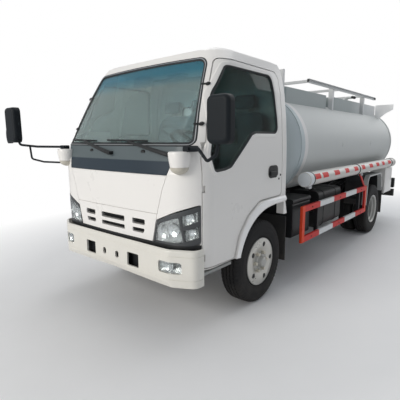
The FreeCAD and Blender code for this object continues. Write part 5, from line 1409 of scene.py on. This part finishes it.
@dataclass
class Lamps(Assembly):
    """Headlamps and fog lamps: bowl, reflectors, bezel and clear lens."""

    body: str = "cab"

    def patch(self, field: tuple, lift: float, crown: float, ripple: float, rows: int, columns: int) -> Array:
        """Part of the lamp's face: lift plus a crown of (1 - u^4)(1 - v^4), with upright facets.

        Args:
            field: A row of LAMP_PANES or LAMP_FRAMES.
            lift: Lift at the edge.
            crown: Extra lift in the middle.
            ripple: Depth of the facets.
            rows: Steps along.
            columns: Steps up.

        Returns:
            A grid on the left side.
        """
        s0, s1, v0, v1, lean = field
        u = np.linspace(-1, 1, rows)[:, None]
        v = np.linspace(-1, 1, columns)[None, :]
        share = v0 + (v1 - v0) * (v + 1) / 2
        drop = np.sin(math.pi / 2 * (1 - share))
        first, last = s0 + lean[0] * drop, s1 + lean[1] * drop
        s = first + (last - first) * (u + 1) / 2
        low, high = np.interp(s, *LAMP_FOOT), np.interp(s, *LAMP_TOP)
        facet = ripple * np.abs((s / FACET) % 1.0 - 0.5) * 2
        return cab_girth(s, low + (high - low) * share, lift + facet + crown * (1 - u ** 4) * (1 - v ** 4))

    def shells(self, name: str, fields: tuple, front: tuple, back: tuple, steps: tuple, look: str) -> Piece:
        """Closed shells over fields of both lamps' faces.

        Args:
            name: The piece's name.
            fields: Rows of LAMP_PANES or LAMP_FRAMES.
            front: Lift, crown and ripple of the outer face.
            back: The same of the inner face.
            steps: Steps along and up.
            look: The finish.

        Returns:
            The object.
        """
        grids = [thick(*(self.patch(field, *face, *steps) for face in (front, back))) for field in fields]
        return self.lay(name, grids, look, Slot.LAMP, sides=BOTH)

    def dish(self, s: float, z: float, radius: float, depth: float) -> Array:
        """Round dish: lift = -depth * (1 - (r/radius)^2) behind its rim, with a thin wall."""
        a = np.linspace(0, 2 * math.pi, 36, endpoint=False)[:, None]
        r = np.linspace(radius, 0.5, 9)[None, :]
        face = cab_girth(s + r * np.cos(a), z + r * np.sin(a), -14 - depth * (1 - (r / radius) ** 2))
        return thick(face, face + np.array([0, 2.5, 0]))

    def build(self) -> None:
        """Makes both headlamps and both fog lamps."""
        made = self.shells("headlamp_lenses", LAMP_PANES, (-0.4, 1.2, 0), (-3.0, 1.2, 0), (26, 14), "lens")
        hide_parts("headlamps")
        self.shells("headlamp_bezels", LAMP_FRAMES, (-0.2, 1.6, 0), (-22.0, 0.0, 0), (18, 6), "bezel")
        self.shells("headlamp_housings", LAMP_PANES, (-26.0, -6.0, 5), (-40.0, -6.0, 0), (90, 12), "bowl")
        dishes = [self.dish(*row[:4]) for row in REFLECTORS]
        bulbs = [turned([(22, 0), (22, r), (2, r), (-6, r * 0.7), (-10, 0)], cab_girth(s, z, -36.0), "y", 16)
                 for s, z, _, _, r in REFLECTORS]
        for name, grids, look in (("reflectors", dishes, "chrome"), ("bulbs", bulbs, "cap")):
            self.lay(f"headlamp_{name}", grids, look, Slot.LAMP, join=Join.TURNED, sides=BOTH)
        self.fog()

    def fog(self) -> None:
        """Fog lamps in the bumper's openings, and the dark channel behind its small holes."""
        ring = box_ring(591, 785, 533, 621, 20)
        case = sheet(ring, (0, 0, 2, 12, 30), (70, 8, 7, 18, 34), bumper_face)
        made = self.lay("fog_lamp_cases", [case], "bowl", Slot.LAMP, "chassis", sides=BOTH)
        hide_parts("fog_lamps")
        cover = sheet(ring, (3, 3, 5, 14), (9, 1, -0.5, -1.5), bumper_face)
        self.lay("fog_lamp_covers", [cover], "lens", Slot.LAMP, "chassis", sides=BOTH)
        dish = turned([(14, 0), (12, 20), (4, 33), (0, 37), (3, 39), (20, 38), (20, 0)],
                      bumper_face(672.0, 577.0, 12.0), "y", 36)
        self.lay("fog_reflectors", [dish], "chrome", Slot.LAMP, "chassis", Join.TURNED, BOTH)
        section = ((-1032, 618), (-986, 618), (-986, 478), (-1032, 478), (-1032, 474), (-982, 474),
                   (-982, 622), (-1032, 622))
        channel = np.array([[(x, y, z) for y, z in section] for x in (-430, 0, 430)], float)
        self.lay("bumper_channel", [channel], "trim", Slot.TRIM, "chassis")


# Name, ends across, headrests' middles, channels, and ends across of the lower plinth.
SEATS = (("driver", 232.0, 718.0, (475.0,), 4, (410.0, 704.0)),
         ("bench", -718.0, 188.0, (-520.0, -100.0), 7, (-704.0, -410.0)))


def power(value: Array, exponent: float) -> Array:
    """Power of the size, with the sign kept."""
    return np.sign(value) * np.abs(value) ** exponent


@dataclass
class Interior(Assembly):
    """Seats, and the dashboard's dials and vents."""

    body: str = "cab"

    def cushion(self, low: Sequence[float], high: Sequence[float], crown: float, channels: int,
                lean: float = 0.0, up_axis: int = 2) -> Array:
        """Crowned cushion: a superellipsoid whose wide faces carry sewn channels.

        Each point is sign(c)|c|^0.35 of a sphere's cosines, scaled to the box, with sides
        drawn in between the corners and grooves of depth 5 where |sin| of the width peaks.

        Args:
            low: Lowest corner.
            high: Highest corner.
            crown: Swell of the wide face.
            channels: Sewn channels across.
            lean: Tilt backwards with height, as a share.
            up_axis: Axis of the wide face's normal.

        Returns:
            A grid closed round its columns.
        """
        low, high = np.array(low, float), np.array(high, float)
        lat = np.linspace(-math.pi / 2, math.pi / 2, 37)[:, None]
        lon = np.linspace(0, 2 * math.pi, 72, endpoint=False)[None, :]
        ring = power(np.cos(lat), 0.42)
        across, along = ring * power(np.cos(lon), 0.35), ring * power(np.sin(lon), 0.35)
        rise = power(np.sin(lat), 0.42) * np.ones_like(lon)
        p = np.stack([across, along, rise] if up_axis == 2 else [across, rise, along], axis=-1)
        swell = (1 - across ** 2 * 0.9) * (1 - along ** 2 * 0.9) * crown
        groove = 5.0 * np.exp(-((np.mod((across + 1) / 2 * channels + 0.5, 1.0) - 0.5) / 0.05) ** 2)
        groove = groove * (np.abs(across) < 0.93) * (np.abs(along) < 0.9)
        points = p * ((high - low) / 2 - crown * np.eye(3)[up_axis])
        points[..., up_axis] += np.sign(rise) * (swell - groove * (np.abs(rise) > 0.5))
        points[..., 0] -= across * (1 - along ** 2) * 5.0
        points = points + (high + low) / 2
        points[..., 1] += lean * (points[..., 2] - low[2])
        return points

    def seats(self) -> None:
        """Driver's seat and passenger bench as separate pads on their bases."""
        pads, plinth, stalks = {}, [], []
        for name, x0, x1, heads, ribs, foot in SEATS:
            seat, back = ((x0, -328, 1082), (x1, 176, 1178)), ((x0 + 4, 128, 1170), (x1 - 4, 212, 1770))
            pads[f"seat_pad_{name}"] = self.cushion(*seat, 16, ribs)
            pads[f"back_pad_{name}"] = self.cushion(*back, 14, ribs, 0.155, 1)
            for k, x in enumerate(heads):
                head = (x - 118, 226, 1806), (x + 118, 300, 1938)
                pads[f"head_pad_{name}_{k}"] = self.cushion(*head, 10, 1, 0.14, 1)
                stalks += [pipe([(at, 272, 1740), (at, 290, 1830)], 6, up=(1, 0, 0))
                           for at in (x - 34, x + 34)]
            plinth.append(slab(box_ring(x0 + 14, x1 - 14, -300, 168, 20, 30), 1051.0, 1092.0, 6, "z"))
            plinth.append(slab(box_ring(*foot, -280, 150, 20, 30), 961.0, 1056.0, 4, "z"))
        for name, grid in pads.items():
            made = self.lay(name, [grid], "cloth", Slot.CLOTH, join=Join.SKIN)
            if name == "seat_pad_driver":
                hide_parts("seats")
        self.lay("seat_bases", plinth, "leather", Slot.CLOTH)
        self.lay("head_stalks", stalks, "chrome", Slot.RAIL)

    def dash(self) -> None:
        """Dials and vents on the dashboard."""
        dials = [turned([(0, 0), (0, r), (5, r), (6, r - 5), (3, r - 7), (3, 0)], (x, -636, 1366), "y", 32)
                 for x, r in ((390.0, 46.0), (500.0, 46.0), (580.0, 24.0))]
        self.lay("dash_dials", dials, "dial", Slot.DASH, join=Join.TURNED)
        vents = []
        for x in (-640.0, -80.0, 80.0, 690.0):
            for rise in (0, 16, 32, 48):
                blade = box_ring(x - 48, x + 48, 1268 + rise, 1275 + rise, 3, 12)
                vents.append(slab(blade, -625.0 - 0.32 * rise, -608.0, 2, "y"))
        self.lay("dash_vents", vents, "trim", Slot.DASH)

    def build(self) -> None:
        """Makes the inside of the cab."""
        self.seats()
        self.dash()


@dataclass
class TankTop(Assembly):
    """Walkway, lid clamps and vents, weld beads, rail plugs and pipe caps of the tank."""

    def walkway(self) -> None:
        """Tread bars across the deck between the coamings."""
        bars, ridge = [], np.array([(-12, -10), (12, -10), (12, 2), (0, 5), (-12, 2)])
        pitch, half, deck = 46, 210.0, 2024.0
        for y0, y1 in ((872.0, 2093.0), (2302.0, 2620.0), (3180.0, 3508.0)):
            count = int((y1 - y0) / pitch)
            for k in range(count):
                y = y0 + (y1 - y0) * (k + 0.5) / count
                bars.append(swept(np.linspace((-half, y, deck), (half, y, deck), 2), ridge))
        self.lay("walkway_treads", bars, "tread", Slot.RAIL)

    def lids(self) -> None:
        """Swing clamps and a pressure valve on each manhole lid; none sits by the hinge."""
        clamp = [(2071, 0), (2071, 15), (2082, 15), (2086, 10), (2098, 10), (2100, 0)]
        valve = [(2094, 0), (2094, 34), (2100, 38), (2116, 38), (2122, 30), (2126, 0)]
        angles = [math.pi * (0.17 + 0.333 * k) + math.pi for k in range(6)]
        reach = 238
        for name, y in (("lid_front", 2900.0), ("lid_rear", 3990.0)):
            clamps = [turned(clamp, (reach * math.cos(a), y + reach * math.sin(a), 0), "z", 8)
                      for a in angles if math.sin(a) <= 0.4]
            self.lay(f"clamps_{name}", clamps, "alloy", Slot.RAIL, name, Join.TURNED)
            vent = turned(valve, (0, y + 30, 0), "z", 24)
            self.lay(f"vent_{name}", [vent], "brass", Slot.RAIL, name, Join.TURNED)

    def section(self, y: float, lift: float) -> Array:
        """Loop round the tank: corner arcs of 330 about (400, 200) from its axis, crowned between.

        Args:
            y: Place along the tank.
            lift: Distance outwards from the shell.

        Returns:
            (n, 3) points.
        """
        t = np.linspace(0, math.pi / 2, 400)
        corner = np.stack([400 + 330 * np.cos(t), 200 + 330 * np.sin(t)], axis=-1)
        side = np.stack([855 - (855 - 730) * np.linspace(0, 1, 60) ** 2, np.linspace(0, 200, 60)], axis=-1)
        crown = np.stack([np.linspace(400, 0, 60), 585 - 55 * np.linspace(1, 0, 60) ** 2], axis=-1)
        quarter = np.vstack([side, corner, crown])
        at = np.arctan2(quarter[:, 1], quarter[:, 0])
        order = np.argsort(at)
        a = np.linspace(0, 2 * math.pi, 160, endpoint=False)
        folded = np.arctan2(np.abs(np.sin(a)), np.abs(np.cos(a)))
        r = np.interp(folded, at[order], np.hypot(quarter[:, 0], quarter[:, 1])[order])
        return np.stack([r * np.cos(a) + lift * np.cos(a), np.full_like(a, y),
                         TANK_AXIS + r * np.sin(a) + lift * np.sin(a)], axis=-1)

    def build(self) -> None:
        """Makes the tank's small parts."""
        self.walkway()
        self.lids()
        welds = [swept(self.section(y, 0.6), circle(3.2, 8), True, up=(0, 1, 0)) for y in (2014.0, 3250.0)]
        self.lay("tank_welds", welds, "tank", Slot.TANK, join=Join.RING)
        plug = slab(box_ring(622, 649, 2165, 2203, 4, 8), 0, 6, 2, "y")
        plugs = [plug + np.array([0, y, 0]) for y in (1366.0, 4114.0)]
        self.lay("rail_plugs", plugs, "trim", Slot.TRIM, sides=BOTH)
        cap = [(-24, 0), (-24, 16), (-18, 21), (18, 21), (24, 16), (24, 0)]
        caps = [turned(cap, (548.0, y, 2150.0), "y", 20) for y in (3225.0, 3300.0)]
        self.lay("pipe_caps", caps, "trim", Slot.TRIM, join=Join.TURNED)


@dataclass
class SideGear(Assembly):
    """Hose tubes' tape, caps, rings and feet, guard bolts, outlets and cabinet panels."""

    def tape(self) -> None:
        """Red tape patches on the hose tubes: arcs of the tube lifted by 0.7."""
        a, grids = np.linspace(math.radians(-2), math.radians(46), 9)[None, :], []
        for y0, y1 in ((851, 994), (1054, 1210), (1400, 1562), (1761, 1894), (2101, 2250), (2422, 2560),
                       (2777, 2937), (3125, 3276), (3455, 3593), (3814, 3995)):
            y = np.linspace(y0, y1, 3)[:, None]
            grids.append(thick(*(flat("y")(TUBE_X + r * np.cos(a), TUBE_Z + r * np.sin(a), y)
                                 for r in (TUBE_R + 0.7, TUBE_R - 0.5))))
        self.lay("hose_tube_tape", grids, "tape", Slot.HOSE, sides=BOTH)

    def tubes(self) -> None:
        """End cap, dark collar rings and clamp feet of each hose tube."""
        r, at = TUBE_R, (TUBE_X, 0, TUBE_Z)
        # The end caps take the lightened grey: painted light where the cab's shadow falls on them.
        cap = turned([(719, 0), (719, r - 4), (721.5, r + 2), (727, r + 5.6), (806, r + 5.6), (808, r + 4),
                      (808, r - 8), (740, r - 8), (740, 0)], at, "y", 56)
        self.lay("hose_tube_caps", [cap], "cap", Slot.HOSE, join=Join.TURNED, sides=BOTH)
        rings = [turned([(y - 13, r - 2), (y - 13, r + 5), (y + 13, r + 5), (y + 13, r - 2)], at, "y", 56)
                 for y in (822.0, 2335.0, 4073.0)]
        self.lay("hose_tube_rings", rings, "trim", Slot.TRIM, join=Join.RING, sides=BOTH)
        feet = [slab(box_ring(y - 34, y + 34, 985, 1022, 8), 905.0, 955.0, 4) for y in (830.0, 2590.0)]
        self.lay("hose_tube_feet", feet, "alloy", Slot.RAIL, sides=BOTH)

    def cabinets(self) -> None:
        """Outlet rings, dust cap and valve lever inside each cabinet, and a raised panel on its door."""
        at = (0, 4125.0, 780.0)
        rings = [turned([(x - 7, 44), (x - 7, 66), (x + 7, 66), (x + 7, 44)], at, "x", 32)
                 for x in (846.0, 866.0)]
        self.lay("outlet_rings", rings, "alloy", Slot.RAIL, join=Join.RING, sides=BOTH)
        cap = turned([(872, 0), (872, 60), (888, 60), (894, 52), (894, 0)], at, "x", 32)
        self.lay("outlet_caps", [cap], "brass", Slot.RAIL, join=Join.TURNED, sides=BOTH)
        bends = [(800, 4125, 850), (800, 4125, 930), (800, 4240, 945), (800, 4300, 945)]
        self.lay("valve_levers", [pipe(bends, 9, up=(1, 0, 0))], "tape", Slot.RAIL, sides=BOTH)
        panel = slab(box_ring(3930, 4330, 602, 978, 14), 946.9, 949.2, 1)
        for side, sign in SIDES:
            self.lay(f"cabinet_panel_{side}", [panel], "cab", Slot.CAB, f"cabinet_door_{side}", sides=(sign,))

    def build(self) -> None:
        """Makes the side gear."""
        self.tape()
        self.tubes()
        bolt = [(957, 0), (957, 9), (960, 8.5), (963, 5), (964, 0)]
        bolts = [turned(bolt, (0, y, z), "x", 12) for y in (900.0, 1745.0, 2600.0) for z in (456.0, 785.0)]
        self.lay("guard_bolts", bolts, "trim", Slot.TRIM, join=Join.TURNED, sides=BOTH)
        self.cabinets()


@dataclass
class Mirrors(Assembly):
    """Mirror glasses with their rims, on the rear faces of the cases."""

    body: str = "cab"

    def build(self) -> None:
        """Makes the glasses and rims."""
        glass = [slab(box_ring(1055, 1207, 1493, 1771, 34), -951.8, -949.6, 0.8, "y"),
                 slab(box_ring(-1336, -1164, 1506, 1814, 34), -1199.8, -1197.6, 0.8, "y")]
        self.lay("mirror_glasses", glass, "mirror", Slot.WINDOW)
        rim = [(0, 0), (3, 6), (9, 5), (10, 0)]
        rims = [hoop(box_ring(*span, 42), rim, flat("y", y)) for span, y in (
            ((1046, 1216, 1484, 1780), -954.0), ((-1345, -1155, 1496, 1824), -1202.0))]
        self.lay("mirror_rims", rims, "rubber", Slot.TRIM, join=Join.RING)


@dataclass
class Underside(Assembly):
    """Spring clamps, pipes and bolts under the frame."""

    def build(self) -> None:
        """Makes the U-bolts over the springs, the air and brake pipes, a loom and the rails' bolts."""
        bolts = []
        for y, x, low, high in ((0.0, 375.0, 290.0, 470.0), (REAR_AXLE, 420.0, 300.0, 520.0)):
            for at in (y - 45.0, y + 45.0):
                path = [(x - 42, at, low), (x - 42, at, high), (x + 42, at, high), (x + 42, at, low)]
                bolts.append(pipe(path, 8, 10, up=(0, 1, 0)))
        self.lay("spring_u_bolts", bolts, "axle", Slot.AXLE, sides=BOTH)
        runs = [pipe([(355, 300, 700), (355, 1500, 702), (352, 2600, 700), (355, 4200, 700)], 6, 10),
                pipe([(355, 300, 676), (352, 1500, 676), (355, 2600, 678), (355, 4400, 676)], 5, 10),
                pipe([(-355, 300, 690), (-352, 1700, 692), (-355, 2600, 688), (-355, 4300, 690)], 9, 10)]
        self.lay("frame_pipes", runs, "trim", Slot.FRAME)
        head = [(374.6, 0), (374.6, 9), (379, 8), (381, 0)]
        rows = [float(y) for y in np.arange(-780.0, 4600.0, 210.0) if abs(y) >= 520]
        heads = [turned(head, (0, y, z), "x", 8) for y in rows for z in (590.0, 720.0)]
        self.lay("rail_bolts", heads, "frame", Slot.FRAME, join=Join.TURNED, sides=BOTH)


@dataclass
class Rear(Assembly):
    """Lamp lenses, the plate holder's eyelets and the ladder's collars."""

    def build(self) -> None:
        """Makes the rear fittings."""
        for key, x0, x1 in (("red", 762, 812), ("amber", 816, 862), ("lens", 866, 908)):
            panes = [slab(box_ring(x0, x1, 640, 758, 8), 4757.0, 4766.0, 3, "y")]
            if key == "red":
                panes.append(slab(box_ring(770, 900, 602, 630, 6), 4757.0, 4764.0, 2, "y"))
            self.lay(f"rear_lenses_{key}", panes, key, Slot.RED, sides=BOTH)
        eye = [(4698, 3.6), (4702.2, 3.6), (4702.2, 7.5), (4698, 7.5)]
        holes = [turned(eye, (x, 0, 685.0), "y", 16) for x in (-105.0, 105.0)]
        self.lay("plate_eyelets", holes, "chrome", Slot.RAIL, join=Join.RING)
        foot = [(2037, 0), (2037, 20), (2042, 20), (2044, 14), (2063, 14), (2064, 0)]
        feet = [turned(foot, (x, 4470.0, 0), "z", 16) for x in (-540.0, -220.0)]
        self.lay("ladder_collars", feet, "rail", Slot.RAIL, join=Join.TURNED)


def main() -> None:
    """Builds the studio, the finishes and every sub-assembly in order."""
    logging.basicConfig(level=logging.INFO, format="%(name)s: %(message)s")
    Studio().build()
    shop = Paintshop()
    shop.dress_nodes()
    for kind in (Wheels, CabSkin, Lamps, Interior, TankTop, SideGear, Mirrors, Underside, Rear):
        LOG.info("building %s", kind.__name__)
        kind(shop).build()


if __name__ == "__main__":
    main()
